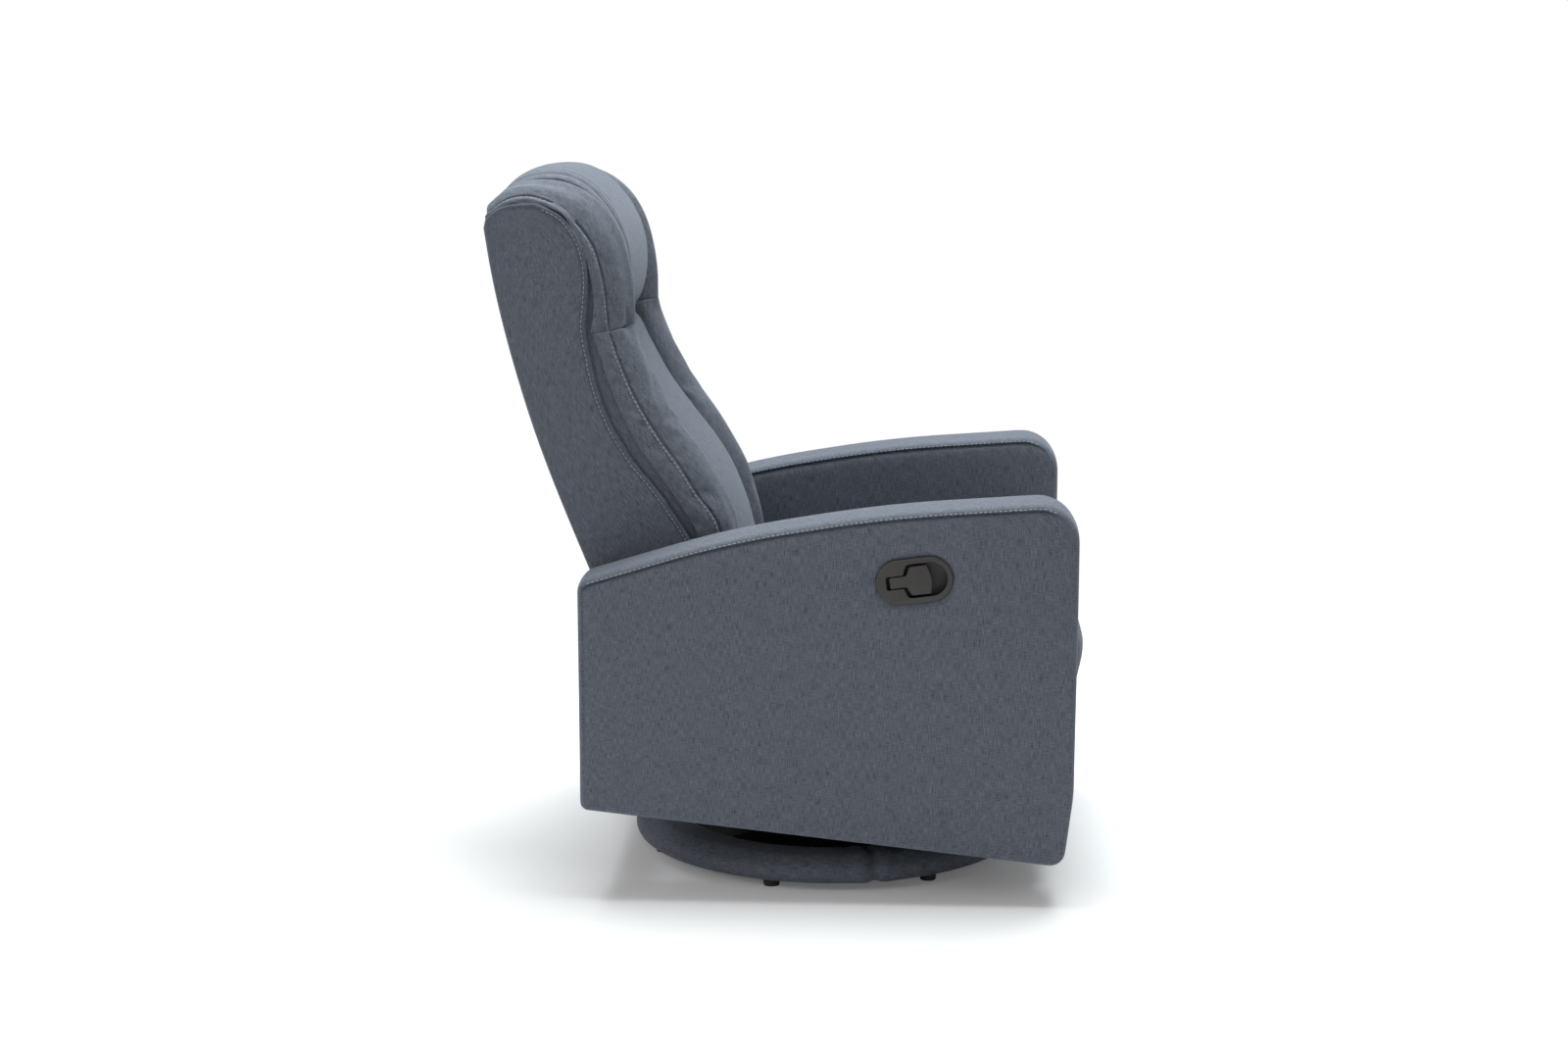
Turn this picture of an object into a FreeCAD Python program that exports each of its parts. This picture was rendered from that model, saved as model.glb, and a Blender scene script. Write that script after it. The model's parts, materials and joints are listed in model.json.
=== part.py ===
import FreeCAD, Part
import math
import os

# Swivel rocker recliner. Millimetres, +X forward, +Y the sitter's left, +Z up.
# The origin is on the floor, midway between the rearmost and the foremost point.
# The outlines lie in the XZ plane as (x, z) points, or (x, z, corner radius).

V = FreeCAD.Vector

# Clearances
FIT = 0.3
RUN = 0.05
PIVOT_PLAY = 0.2
SLIT = 1.0
HAIR = 0.01

# Arms
ARM_W = 103.0
ARM_REAR_X = -302.0
ARM_FRONT_X = 431.0
ARM_TOE_X = 416.0
ARM_KNEE_Z = 420.0
ARM_REAR_LOW_Z = 141.5
ARM_REAR_TOP_Z = 499.0
ARM_CREST_X = 110.0
ARM_CREST_Z = 590.0
ARM_FRONT_TOP_Z = 613.0
ARM_TOE_Z = 66.0
ARM_CORNERS_R = (18.0, 16.0, 1800.0, 42.0, 600.0, 24.0)
ARM_EDGE_R = 12.0
ARM_PAD = 20.0
ARM_WALL = 14.0
ARM_RAIL = 70.0
ARM_FRAME_T = 50.0

# Turning base
AXIS_X = 58.0
RING_OUT_R = 317.0
RING_IN_R = 235.0
RING_TOP_Z = 54.0
RING_SEAM_R = 285.0
RING_IN_DROP = 2.0
RING_OUT_DROP = 24.0
RING_TUCK = 3.0
RING_CORNERS_R = (4.0, 14.0, 30.0, 16.0, 6.0)
GLIDE_H = 14.0
GLIDE_R = 14.0
GLIDE_TAPER = 2.0
GLIDE_CIRCLE_R = 278.0
GLIDE_COUNT = 7
GLIDE_FIRST_DEG = 202.0
CROSSBAR_W = 40.0
CROSSBAR_H = 20.0
CROSSBAR_Z = 26.0
PLATE_T = 4.0
LOWER_PLATE = 250.0
UPPER_PLATE_X = 300.0
UPPER_PLATE_Y = 330.0
BALL_R = 4.0
BALL_CIRCLE_R = 95.0
BALL_COUNT = 24
BALL_GAP = 5.2
CAGE_W = 14.0
CAGE_T = 1.6
SWIVEL_PIN_R = 8.0
SWIVEL_HEAD_R = 14.0
SWIVEL_HEAD_H = 3.0
BASE_BOLT_CIRCLE_R = 150.0
BOLT_R = 4.0
BOLT_HEAD_R = 7.0
BOLT_HEAD_H = 4.0

# Rocker
ROCK_Z = 110.0
CAM_R = 210.0
RAIL_R = 80.0
ROCK_GAP = 0.7
CAM_Y = 146.0
CAM_T = 14.0
CAM_HALF_LEN = 140.0
RAIL_W = 24.0
RAIL_HALF_LEN = 60.0
SPRING_Y = 90.0
SPRING_R = 16.0
SPRING_WIRE_R = 2.5
SPRING_TURNS = 6

# Chassis
TUBE = 30.0
TUBE_WALL = 2.0
TUBE_BOTTOM_Z = 165.0
TUBE_SPREAD = 120.0
SIDE_T = 4.0
SIDE_REAR_X = -230.0
SIDE_FRONT_X = 330.0
SIDE_REAR_LOW_Z = 158.0
SIDE_FRONT_LOW_Z = 128.0
SIDE_TOP_Z = 345.0
SIDE_CORNER_R = 16.0
ARM_BOLTS = ((-190.0, 190.0), (60.0, 168.0), (290.0, 150.0))
ARM_BOLT_LEN = 52.0
APRON_T = 16.0
APRON_TOP_Z = 306.0
APRON_CORNER_R = 6.0

# Seat
SEAT_REAR_X = -70.0
SEAT_FRONT_X = 350.0
SEAT_HALF_W = 244.0
SEAT_RAIL_T = 22.0
SEAT_LOW_Z = 345.0
SEAT_TOP_Z = 405.0
SEAT_SPRING_COUNT = 5
SEAT_SPRING_WIRE_R = 2.0
SEAT_SPRING_LOOPS = 11
CUSHION_SIDE_GAP = 6.0
CUSHION_REAR_X = -40.0
CUSHION_LIP_X = 425.0
CUSHION_CROWN_Z = 480.0
CUSHION_EDGE_Z = 468.0
CUSHION_CORNERS_R = (8.0, 20.0, 900.0, 34.0, 18.0)
SEAT_TRAVEL = 55.0
SLIDE_PIN_R = 6.0
SLIDE_PINS_X = (-110.0, 60.0)
SLIDE_Z = 300.0
SEAT_BOLTS_X = (0.0, 120.0, 240.0)
SEAT_PLATE_CORNER_R = 10.0

# Footrest linkage: equal parallel links, so that the front link never turns
LINK_LEN = 228.0
LINK_REST_DEG = -105.0
LINK_HALF_W = 9.0
LINK_T = 4.0
LINK_GAP = 2.0
LINK_PIN_R = 5.0
LIFT_X = 266.0
LIFT_Z = 309.0
GUIDE_DX = 40.0
GUIDE_DZ = 23.0
TILT_DX = 5.0
TILT_DZ = 60.0
FOOT_X = 338.0
FOOT_Z = 240.0
DRIVE_TUBE_R = 12.5
DRIVE_TUBE_WALL = 2.0
DRIVE_TUBE_AT = 60.0

# Footrest
BOARD_T = 14.0
BOARD_REAR_X = 358.0
BOARD_SIDE_GAP = 6.0
PAD_SIDE_GAP = 10.0
PAD_LOW_Z = 97.0
PAD_TOP_Z = 400.0
PAD_BULGE_X = 447.6
PAD_BULGE_Z = 352.0
PAD_TOP_X = 434.0
PAD_TOE_X = 436.0
PAD_MARGIN = 6.0
PAD_CORNERS_R = (10.0, 10.0, 24.0, 34.0, 300.0, 26.0)
FOOT_BRACKET_CORNER_R = 4.0

# Back
BACK_WALL = 11.7
BACK_SIDE_GAP = 8.0
BACK_PIVOT_X = -120.0
BACK_PIVOT_Z = 375.0
BACK_PIN_R = 8.0
BRACKET_T = 4.0
BRACKET_HALF_W = 18.0
PANEL_HALF_W = 148.0
HEAD_SPLIT_Z = 850.0
LUMBAR_RECESS = 26.0
HEAD_RECESS = 12.0
POST_FOOT_X = -215.0
POST_FOOT_Z = 430.0
POST_HEAD_X = -385.0
POST_HEAD_Z = 1000.0
POST_W = 45.0
POST_T = 22.0
WEB_W = 48.0
WEB_T = 2.5
WEB_COUNT = 5

# Handle on the right arm
HANDLE_X = 192.0
HANDLE_Z = 495.0
HANDLE_TILT_DEG = 7.4
BEZEL_L = 112.0
BEZEL_H = 67.0
BEZEL_T = 3.5
CUP_L = 104.0
CUP_H = 58.0
CUP_DEPTH = 20.5
CUP_WALL = 2.5
TAB_T = 5.0
TAB_H = 43.0
TAB_FRONT = 25.0
TAB_NECK = -13.0
TAB_STEM_H = 17.0
TAB_HINGE = -32.0
TAB_HINGE_DEPTH = 9.0
TAB_BARREL_R = 4.5
TAB_PIN_R = 2.0
TAB_GAP = 1.2
TAB_SWING = 3.0
TAB_HEEL = 4.0
TAB_OVERLAP = 6.0
TAB_CORNER_R = 6.0
STEM_CORNER_R = 3.0
MOUTH_CORNER_R = 8.0
CABLE_R = 3.0
CABLE_BEND_R = 24.0
LEVER_X = 190.0
LEVER_ARM = 30.0
LEVER_PIN_R = 4.0

# Places that follow from the sizes above
CROSSBAR_TOP_Z = CROSSBAR_Z + CROSSBAR_H
LOWER_TOP_Z = CROSSBAR_TOP_Z + PLATE_T
UPPER_LOW_Z = LOWER_TOP_Z + BALL_GAP
UPPER_TOP_Z = UPPER_LOW_Z + PLATE_T
BALL_Z = LOWER_TOP_Z + BALL_GAP / 2
TUBE_TOP_Z = TUBE_BOTTOM_Z + TUBE
PLATE_OUT_Y = SEAT_HALF_W + PLATE_T
LINK_Y = SEAT_HALF_W - SLIT - LINK_T
FRONT_LINK_Y = LINK_Y - LINK_GAP - LINK_T
FOOT_BRACKET_Y = FRONT_LINK_Y - LINK_GAP - LINK_T
BRACKET_Y = SEAT_HALF_W - LINK_GAP - BRACKET_T
BACK_HALF_W = BRACKET_Y + BRACKET_T + FIT + BACK_WALL
ARM_IN_Y = BACK_HALF_W + BACK_SIDE_GAP
ARM_OUT_Y = ARM_IN_Y + ARM_W
SIDE_IN_Y = ARM_IN_Y - SIDE_T
CUSHION_HALF_W = ARM_IN_Y - CUSHION_SIDE_GAP
BOARD_HALF_W = SEAT_HALF_W - BOARD_SIDE_GAP
PAD_HALF_W = ARM_IN_Y - PAD_SIDE_GAP
BOARD_FRONT_X = BOARD_REAR_X + BOARD_T
LIFT = (LIFT_X, LIFT_Z)
GUIDE = (LIFT_X + GUIDE_DX, LIFT_Z + GUIDE_DZ)
LINK_DX = LINK_LEN * math.cos(math.radians(LINK_REST_DEG))
LINK_DZ = LINK_LEN * math.sin(math.radians(LINK_REST_DEG))
LIFT_END = (LIFT[0] + LINK_DX, LIFT[1] + LINK_DZ)
GUIDE_END = (GUIDE[0] + LINK_DX, GUIDE[1] + LINK_DZ)
TILT = (GUIDE_END[0] + TILT_DX, GUIDE_END[1] + TILT_DZ)
FOOT = (FOOT_X, FOOT_Z)
FOOT_TILT = (FOOT_X + TILT_DX, FOOT_Z + TILT_DZ)
SIDES = (("left", 1), ("right", -1))


# Shape helpers

def point(place, y=0.0):
    return V(place[0], y, place[1])


def outline(corners):
    """Closed wire of straight runs whose corners are rounded by their own radius."""
    ends = []
    edges = []
    count = len(corners)
    for i, (x, z, radius) in enumerate(corners):
        here = V(x, 0, z)
        back = (point(corners[i - 1]) - here).normalize()
        ahead = (point(corners[(i + 1) % count]) - here).normalize()
        half = back.getAngle(ahead) / 2
        if radius == 0:
            ends.append((here, here))
            continue
        reach = radius / math.tan(half)
        middle = (back + ahead).normalize() * (radius / math.sin(half) - radius)
        first, last = here + back * reach, here + ahead * reach
        edges.append(Part.Arc(first, here + middle, last).toShape())
        ends.append((first, last))
    for i in range(count):
        first, last = ends[i][1], ends[(i + 1) % count][0]
        if first.distanceToPoint(last) > 1e-6:
            edges.append(Part.LineSegment(first, last).toShape())
    return Part.Wire(Part.__sortEdges__(edges))


def rectangle(x0, x1, z0, z1, radius):
    return [(x0, z0, radius), (x0, z1, radius), (x1, z1, radius), (x1, z0, radius)]


def racetrack(length, height):
    half = height / 2 - HAIR
    return rectangle(-length / 2, length / 2, -height / 2, height / 2, half)


def slab(shape, y0, y1):
    """Solid between y0 and y1 from a list of corners, a wire or a face."""
    if isinstance(shape, list):
        shape = outline(shape)
    face = shape if isinstance(shape, Part.Shape) and shape.ShapeType != "Wire" else Part.Face(shape)
    face = face.copy()
    face.translate(V(0, min(y0, y1), 0))
    return face.extrude(V(0, abs(y1 - y0), 0))


def box(x0, x1, y0, y1, z0, z1):
    low = V(min(x0, x1), min(y0, y1), min(z0, z1))
    return Part.makeBox(abs(x1 - x0), abs(y1 - y0), abs(z1 - z0), low)


def bar(place, radius, y0, y1):
    """Round bar along Y."""
    return Part.makeCylinder(radius, abs(y1 - y0), point(place, min(y0, y1)), V(0, 1, 0))


def post(x, y, radius, z0, z1):
    """Round bar along Z."""
    return Part.makeCylinder(radius, z1 - z0, V(x, y, z0))


def hexagon(place, y0, y1):
    """Hexagon bolt head along Y."""
    corners = []
    for i in range(6):
        turn = math.radians(60 * i)
        corners.append((place[0] + BOLT_HEAD_R * math.cos(turn), place[1] + BOLT_HEAD_R * math.sin(turn), 0))
    return slab(corners, y0, y1)


def strip(places, half_width, y0, y1):
    """Flat link with round ends through the given places."""
    solid = None
    for a, b in zip(places, places[1:]):
        run = point(b) - point(a)
        length = run.Length
        piece = slab(rectangle(-half_width, length + half_width, -half_width, half_width,
                               half_width - HAIR), y0, y1)
        piece.rotate(V(0, 0, 0), V(0, 1, 0), -math.degrees(math.atan2(run.z, run.x)))
        piece.translate(point(a))
        solid = piece if solid is None else solid.fuse(piece)
    return solid.removeSplitter()


def curve(places):
    line = Part.BSplineCurve()
    line.interpolate([point(place) for place in places])
    return line.toShape()


def closed_face(edges):
    return Part.Face(Part.Wire(Part.__sortEdges__(edges)))


def straight(a, b):
    return Part.LineSegment(point(a), point(b)).toShape()


def swept(path, start, direction, radius):
    ring = Part.Wire(Part.makeCircle(radius, start, direction))
    return Part.Wire(path).makePipeShell([ring], True, False)


def rim_edges(solid, *levels):
    """Edges of the end faces of a slab."""
    chosen = []
    for edge in solid.Edges:
        for y in levels:
            if all(abs(vertex.Y - y) < 1e-4 for vertex in edge.Vertexes):
                chosen.append(edge)
    return chosen


NODES = {}


def keep(name, *shapes):
    solids = [solid for shape in shapes for solid in shape.Solids]
    NODES[name] = solids[0] if len(solids) == 1 else Part.makeCompound(solids)


# Turning base

def base_ring():
    places = [(RING_IN_R, GLIDE_H), (RING_IN_R, RING_TOP_Z - RING_IN_DROP), (RING_SEAM_R, RING_TOP_Z),
              (RING_OUT_R, RING_TOP_Z - RING_OUT_DROP), (RING_OUT_R - RING_TUCK, GLIDE_H)]
    section = outline([place + (radius,) for place, radius in zip(places, RING_CORNERS_R)])
    ring = Part.Face(section).revolve(V(0, 0, 0), V(0, 0, 1), 360)
    ring.translate(V(AXIS_X, 0, 0))
    return Part.makeSolid(Part.makeShell(ring.Faces))


def around(count, radius, first_deg=0.0):
    step = 360.0 / count
    for i in range(count):
        turn = math.radians(first_deg + step * i)
        yield AXIS_X + radius * math.cos(turn), radius * math.sin(turn)


def base_parts():
    keep("base_ring", base_ring())
    keep("base_glides", *[Part.makeCone(GLIDE_R - GLIDE_TAPER, GLIDE_R, GLIDE_H, V(x, y, 0))
                          for x, y in around(GLIDE_COUNT, GLIDE_CIRCLE_R, GLIDE_FIRST_DEG)])
    reach = RING_IN_R + CROSSBAR_W
    one = box(-reach, reach, -CROSSBAR_W / 2, CROSSBAR_W / 2, CROSSBAR_Z, CROSSBAR_TOP_Z)
    other = one.copy()
    one.rotate(V(0, 0, 0), V(0, 0, 1), 45)
    other.rotate(V(0, 0, 0), V(0, 0, 1), -45)
    bars = one.fuse(other)
    bars.translate(V(AXIS_X, 0, 0))
    bars = bars.common(post(AXIS_X, 0, RING_IN_R, CROSSBAR_Z, CROSSBAR_TOP_Z)).removeSplitter()
    half = LOWER_PLATE / 2
    lower = box(AXIS_X - half, AXIS_X + half, -half, half, CROSSBAR_TOP_Z, LOWER_TOP_Z)
    groove = Part.makeTorus(BALL_CIRCLE_R, BALL_R + RUN, V(AXIS_X, 0, BALL_Z))
    lower = lower.cut(groove).cut(post(AXIS_X, 0, SWIVEL_PIN_R + RUN, CROSSBAR_TOP_Z, LOWER_TOP_Z))
    bolts = []
    for x, y in around(4, BASE_BOLT_CIRCLE_R, 45.0):
        hole = post(x, y, BOLT_R + RUN, CROSSBAR_Z, LOWER_TOP_Z)
        bars, lower = bars.cut(hole), lower.cut(hole)
        shank = post(x, y, BOLT_R, CROSSBAR_Z, LOWER_TOP_Z)
        bolts.append(shank.fuse(post(x, y, BOLT_HEAD_R, LOWER_TOP_Z, LOWER_TOP_Z + BOLT_HEAD_H)))
    keep("base_crossbars", bars)
    keep("swivel_lower_plate", lower)
    keep("base_bolts", *[bolt.removeSplitter() for bolt in bolts])
    head_z = UPPER_TOP_Z + FIT
    pin = post(AXIS_X, 0, SWIVEL_PIN_R, CROSSBAR_TOP_Z, head_z)
    keep("swivel_pin", pin.fuse(post(AXIS_X, 0, SWIVEL_HEAD_R, head_z, head_z + SWIVEL_HEAD_H)))
    cage = post(AXIS_X, 0, BALL_CIRCLE_R + CAGE_W / 2, BALL_Z - CAGE_T / 2, BALL_Z + CAGE_T / 2)
    cage = cage.cut(post(AXIS_X, 0, BALL_CIRCLE_R - CAGE_W / 2, BALL_Z - CAGE_T, BALL_Z + CAGE_T))
    balls = []
    for x, y in around(BALL_COUNT, BALL_CIRCLE_R):
        cage = cage.cut(post(x, y, BALL_R + FIT, BALL_Z - CAGE_T, BALL_Z + CAGE_T))
        balls.append(Part.makeSphere(BALL_R, V(x, y, BALL_Z)))
    keep("bearing_cage", cage)
    keep("bearing_balls", *balls)


def rocker_parts():
    upper = box(AXIS_X - UPPER_PLATE_X / 2, AXIS_X + UPPER_PLATE_X / 2,
                -UPPER_PLATE_Y / 2, UPPER_PLATE_Y / 2, UPPER_LOW_Z, UPPER_TOP_Z)
    upper = upper.cut(Part.makeTorus(BALL_CIRCLE_R, BALL_R + RUN, V(AXIS_X, 0, BALL_Z)))
    upper = upper.cut(post(AXIS_X, 0, SWIVEL_PIN_R + RUN, UPPER_LOW_Z, UPPER_TOP_Z))
    keep("swivel_upper_plate", upper)
    crown = ROCK_Z - ROCK_GAP
    for side, sign in SIDES:
        y = sign * CAM_Y
        rail = box(AXIS_X - RAIL_HALF_LEN, AXIS_X + RAIL_HALF_LEN, y - RAIL_W / 2, y + RAIL_W / 2,
                   UPPER_TOP_Z, crown)
        rail = rail.common(bar((AXIS_X, crown - RAIL_R), RAIL_R, y - RAIL_W / 2, y + RAIL_W / 2))
        keep("rocker_rail_" + side, rail)
        cam = box(AXIS_X - CAM_HALF_LEN, AXIS_X + CAM_HALF_LEN, y - CAM_T / 2, y + CAM_T / 2,
                  ROCK_Z, TUBE_BOTTOM_Z)
        cam = cam.common(bar((AXIS_X, ROCK_Z + CAM_R), CAM_R, y - CAM_T / 2, y + CAM_T / 2))
        keep("rocker_cam_" + side, cam)
    low = UPPER_TOP_Z + SPRING_WIRE_R + FIT
    height = TUBE_BOTTOM_Z - SPRING_WIRE_R - FIT - low
    springs = []
    for dx in (TUBE_SPREAD, -TUBE_SPREAD):
        for y in (SPRING_Y, -SPRING_Y):
            coil = Part.makeHelix(height / SPRING_TURNS, height, SPRING_R)
            spring = swept(coil.Edges, V(SPRING_R, 0, 0), V(0, 1, 0), SPRING_WIRE_R)
            spring.translate(V(AXIS_X + dx, y, low))
            springs.append(spring)
    keep("rocker_springs", *springs)


# Chassis and arms

ARM_PLACES = [(ARM_REAR_X, ARM_REAR_LOW_Z), (ARM_REAR_X, ARM_REAR_TOP_Z), (ARM_CREST_X, ARM_CREST_Z),
              (ARM_FRONT_X, ARM_FRONT_TOP_Z), (ARM_FRONT_X, ARM_KNEE_Z), (ARM_TOE_X, ARM_TOE_Z)]
ARM_OUTLINE = [place + (radius,) for place, radius in zip(ARM_PLACES, ARM_CORNERS_R)]


def tilted(shape):
    """Turn and move a piece drawn on the handle's own axes to its place on the arm."""
    shape.rotate(V(0, 0, 0), V(0, 1, 0), -HANDLE_TILT_DEG)
    shape.translate(V(HANDLE_X, 0, HANDLE_Z))
    return shape


BEZEL_OUT_Y = -ARM_OUT_Y
BEZEL_IN_Y = BEZEL_OUT_Y + BEZEL_T
CUP_FLOOR_Y = BEZEL_IN_Y + CUP_DEPTH
TAB_IN_Y = BEZEL_OUT_Y + TAB_T
HINGE_Y = BEZEL_OUT_Y + TAB_HINGE_DEPTH
TILT_RAD = math.radians(HANDLE_TILT_DEG)
CABLE_X = HANDLE_X + TAB_HINGE * math.cos(TILT_RAD)
CABLE_Z = HANDLE_Z + TAB_HINGE * math.sin(TILT_RAD)
CABLE_Y = -(ARM_OUT_Y + ARM_IN_Y) / 2
CABLE_END = (LEVER_X - LEVER_ARM, SLIDE_Z)


def arm_parts():
    bolts = []
    for side, sign in SIDES:
        face = Part.Face(outline(ARM_OUTLINE))
        cover = slab(face, sign * ARM_IN_Y, sign * ARM_OUT_Y)
        cover = cover.makeFillet(ARM_EDGE_R, rim_edges(cover, sign * ARM_IN_Y, sign * ARM_OUT_Y))
        hollow = face.makeOffset2D(-ARM_PAD)
        cover = cover.cut(slab(hollow, sign * (ARM_IN_Y + ARM_WALL), sign * (ARM_OUT_Y - ARM_WALL)))
        middle = sign * (ARM_OUT_Y + ARM_IN_Y) / 2
        frame = slab(face.makeOffset2D(-ARM_PAD - FIT), middle - ARM_FRAME_T / 2, middle + ARM_FRAME_T / 2)
        window = face.makeOffset2D(-ARM_PAD - FIT - ARM_RAIL)
        frame = frame.cut(slab(window, middle - ARM_FRAME_T / 2, middle + ARM_FRAME_T / 2))
        side_frame = side_plate(sign)
        for place in ARM_BOLTS:
            hole = bar(place, BOLT_R + RUN, sign * SIDE_IN_Y, sign * (SIDE_IN_Y + ARM_BOLT_LEN))
            cover, frame, side_frame = cover.cut(hole), frame.cut(hole), side_frame.cut(hole)
            shank = bar(place, BOLT_R, sign * SIDE_IN_Y, sign * (SIDE_IN_Y + ARM_BOLT_LEN))
            bolts.append(shank.fuse(hexagon(place, sign * (SIDE_IN_Y - BOLT_HEAD_H), sign * SIDE_IN_Y)))
        if sign < 0:
            recess = slab(racetrack(BEZEL_L + 2 * FIT, BEZEL_H + 2 * FIT), BEZEL_OUT_Y, BEZEL_IN_Y)
            pocket = slab(racetrack(CUP_L + 2 * FIT, CUP_H + 2 * FIT), BEZEL_OUT_Y, CUP_FLOOR_Y + FIT)
            cover = cover.cut(tilted(recess.fuse(pocket)))
            passage = bar(CABLE_END, CABLE_R + FIT, -SIDE_IN_Y, -(ARM_IN_Y + ARM_WALL))
            cover, side_frame = cover.cut(passage), side_frame.cut(passage)
            pivot = bar((LEVER_X, SLIDE_Z), LEVER_PIN_R, -SIDE_IN_Y, -(SIDE_IN_Y - FIT - LINK_T - FIT))
            side_frame = side_frame.fuse(pivot).removeSplitter()
        keep("arm_cover_" + side, cover)
        keep("arm_frame_" + side, frame)
        keep("side_frame_" + side, side_frame)
    keep("arm_bolts", *bolts)


def side_plate(sign):
    corners = [(SIDE_REAR_X, SIDE_REAR_LOW_Z, SIDE_CORNER_R), (SIDE_REAR_X, SIDE_TOP_Z, SIDE_CORNER_R),
               (SIDE_FRONT_X, SIDE_TOP_Z, SIDE_CORNER_R), (SIDE_FRONT_X, SIDE_FRONT_LOW_Z, SIDE_CORNER_R)]
    plate = slab(corners, sign * SIDE_IN_Y, sign * ARM_IN_Y)
    for x in SLIDE_PINS_X:
        ends = [(x, SLIDE_Z), (x + SEAT_TRAVEL, SLIDE_Z)]
        plate = plate.cut(strip(ends, SLIDE_PIN_R + PIVOT_PLAY, sign * SIDE_IN_Y, sign * ARM_IN_Y))
    return plate


def chassis_parts():
    for name, dx in (("front", TUBE_SPREAD), ("rear", -TUBE_SPREAD)):
        x = AXIS_X + dx
        tube = box(x - TUBE / 2, x + TUBE / 2, -SIDE_IN_Y, SIDE_IN_Y, TUBE_BOTTOM_Z, TUBE_TOP_Z)
        bore = box(x - TUBE / 2 + TUBE_WALL, x + TUBE / 2 - TUBE_WALL, -SIDE_IN_Y, SIDE_IN_Y,
                   TUBE_BOTTOM_Z + TUBE_WALL, TUBE_TOP_Z - TUBE_WALL)
        keep("cross_tube_" + name, tube.cut(bore))
    apron = rectangle(ARM_REAR_X, ARM_REAR_X + APRON_T, ARM_REAR_LOW_Z + SIDE_CORNER_R, APRON_TOP_Z,
                      APRON_CORNER_R)
    keep("rear_apron", slab(apron, -ARM_IN_Y + FIT, ARM_IN_Y - FIT))


# Pull handle

def handle_parts():
    stem = rectangle(TAB_HINGE - TAB_HEEL, TAB_NECK + TAB_OVERLAP, -TAB_STEM_H / 2, TAB_STEM_H / 2,
                     STEM_CORNER_R)
    paddle = rectangle(TAB_NECK, TAB_FRONT, -TAB_H / 2, TAB_H / 2, TAB_CORNER_R)
    inner_l, inner_h = CUP_L - 2 * CUP_WALL, CUP_H - 2 * CUP_WALL
    mouth_h = inner_h - 2 * TAB_GAP
    mouth_x = inner_l / 2 - TAB_GAP
    mouth_rear = TAB_NECK - TAB_SWING
    mouth = [(mouth_rear, -mouth_h / 2, MOUTH_CORNER_R), (mouth_rear, mouth_h / 2, MOUTH_CORNER_R),
             (mouth_x, mouth_h / 2, mouth_h / 2 - HAIR), (mouth_x, -mouth_h / 2, mouth_h / 2 - HAIR)]
    slot_h = TAB_STEM_H / 2 + TAB_GAP
    slot = rectangle(TAB_HINGE - TAB_HINGE_DEPTH - TAB_GAP, TAB_NECK + TAB_OVERLAP, -slot_h, slot_h,
                     STEM_CORNER_R)
    bezel = slab(racetrack(BEZEL_L, BEZEL_H), BEZEL_OUT_Y, BEZEL_IN_Y)
    bezel = bezel.cut(slab(mouth, BEZEL_OUT_Y, BEZEL_IN_Y)).cut(slab(slot, BEZEL_OUT_Y, BEZEL_IN_Y))
    keep("handle_bezel", tilted(bezel))
    cup = slab(racetrack(CUP_L, CUP_H), BEZEL_IN_Y, CUP_FLOOR_Y)
    cup = cup.cut(slab(racetrack(inner_l, inner_h), BEZEL_IN_Y, CUP_FLOOR_Y - CUP_WALL))
    keep("handle_cup", tilted(cup))
    middle = inner_l / 2 - inner_h / 2
    chord = math.sqrt((inner_h / 2) ** 2 - (abs(TAB_HINGE) + TAB_PIN_R - middle) ** 2)
    pin = Part.makeCylinder(TAB_PIN_R, 2 * chord, V(TAB_HINGE, HINGE_Y, -chord))
    keep("handle_pin", tilted(pin))
    tab = slab(stem, BEZEL_OUT_Y, TAB_IN_Y).fuse(slab(paddle, BEZEL_OUT_Y, TAB_IN_Y))
    half = TAB_STEM_H / 2 - TAB_GAP
    tab = tab.fuse(Part.makeCylinder(TAB_BARREL_R, 2 * half, V(TAB_HINGE, HINGE_Y, -half)))
    bore = Part.makeCylinder(TAB_PIN_R + RUN, 2 * TAB_STEM_H, V(TAB_HINGE, HINGE_Y, -TAB_STEM_H))
    keep("pull_tab", tilted(tab.removeSplitter().cut(bore)))


def release_parts():
    bend = CABLE_BEND_R
    slant = bend * math.sqrt(0.5)
    top = V(CABLE_X, CABLE_Y, CABLE_Z)
    start = V(CABLE_X, CUP_FLOOR_Y, CABLE_Z)
    low = V(CABLE_X, CABLE_Y, CABLE_END[1])
    first = [top - V(0, bend, 0), top + V(0, slant - bend, slant - bend), top - V(0, 0, bend)]
    second = [low + V(0, 0, bend), low + V(0, bend - slant, bend - slant), low + V(0, bend, 0)]
    finish = V(CABLE_X, -SIDE_IN_Y, CABLE_END[1])
    runs = []
    if start.distanceToPoint(first[0]) > 1e-6:
        runs.append(Part.LineSegment(start, first[0]).toShape())
    runs += [Part.Arc(*first).toShape(), Part.LineSegment(first[2], second[0]).toShape(),
             Part.Arc(*second).toShape(), Part.LineSegment(second[2], finish).toShape()]
    keep("release_cable", swept(runs, start, V(0, 1, 0), CABLE_R))
    places = [CABLE_END, (LEVER_X, SLIDE_Z), (LEVER_X, SLIDE_Z - LEVER_ARM)]
    y = -(SIDE_IN_Y - FIT)
    lever = strip(places, LINK_HALF_W, y, y + LINK_T)
    keep("release_lever", lever.cut(bar((LEVER_X, SLIDE_Z), LEVER_PIN_R + RUN, y, y + LINK_T)))


# Seat

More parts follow.
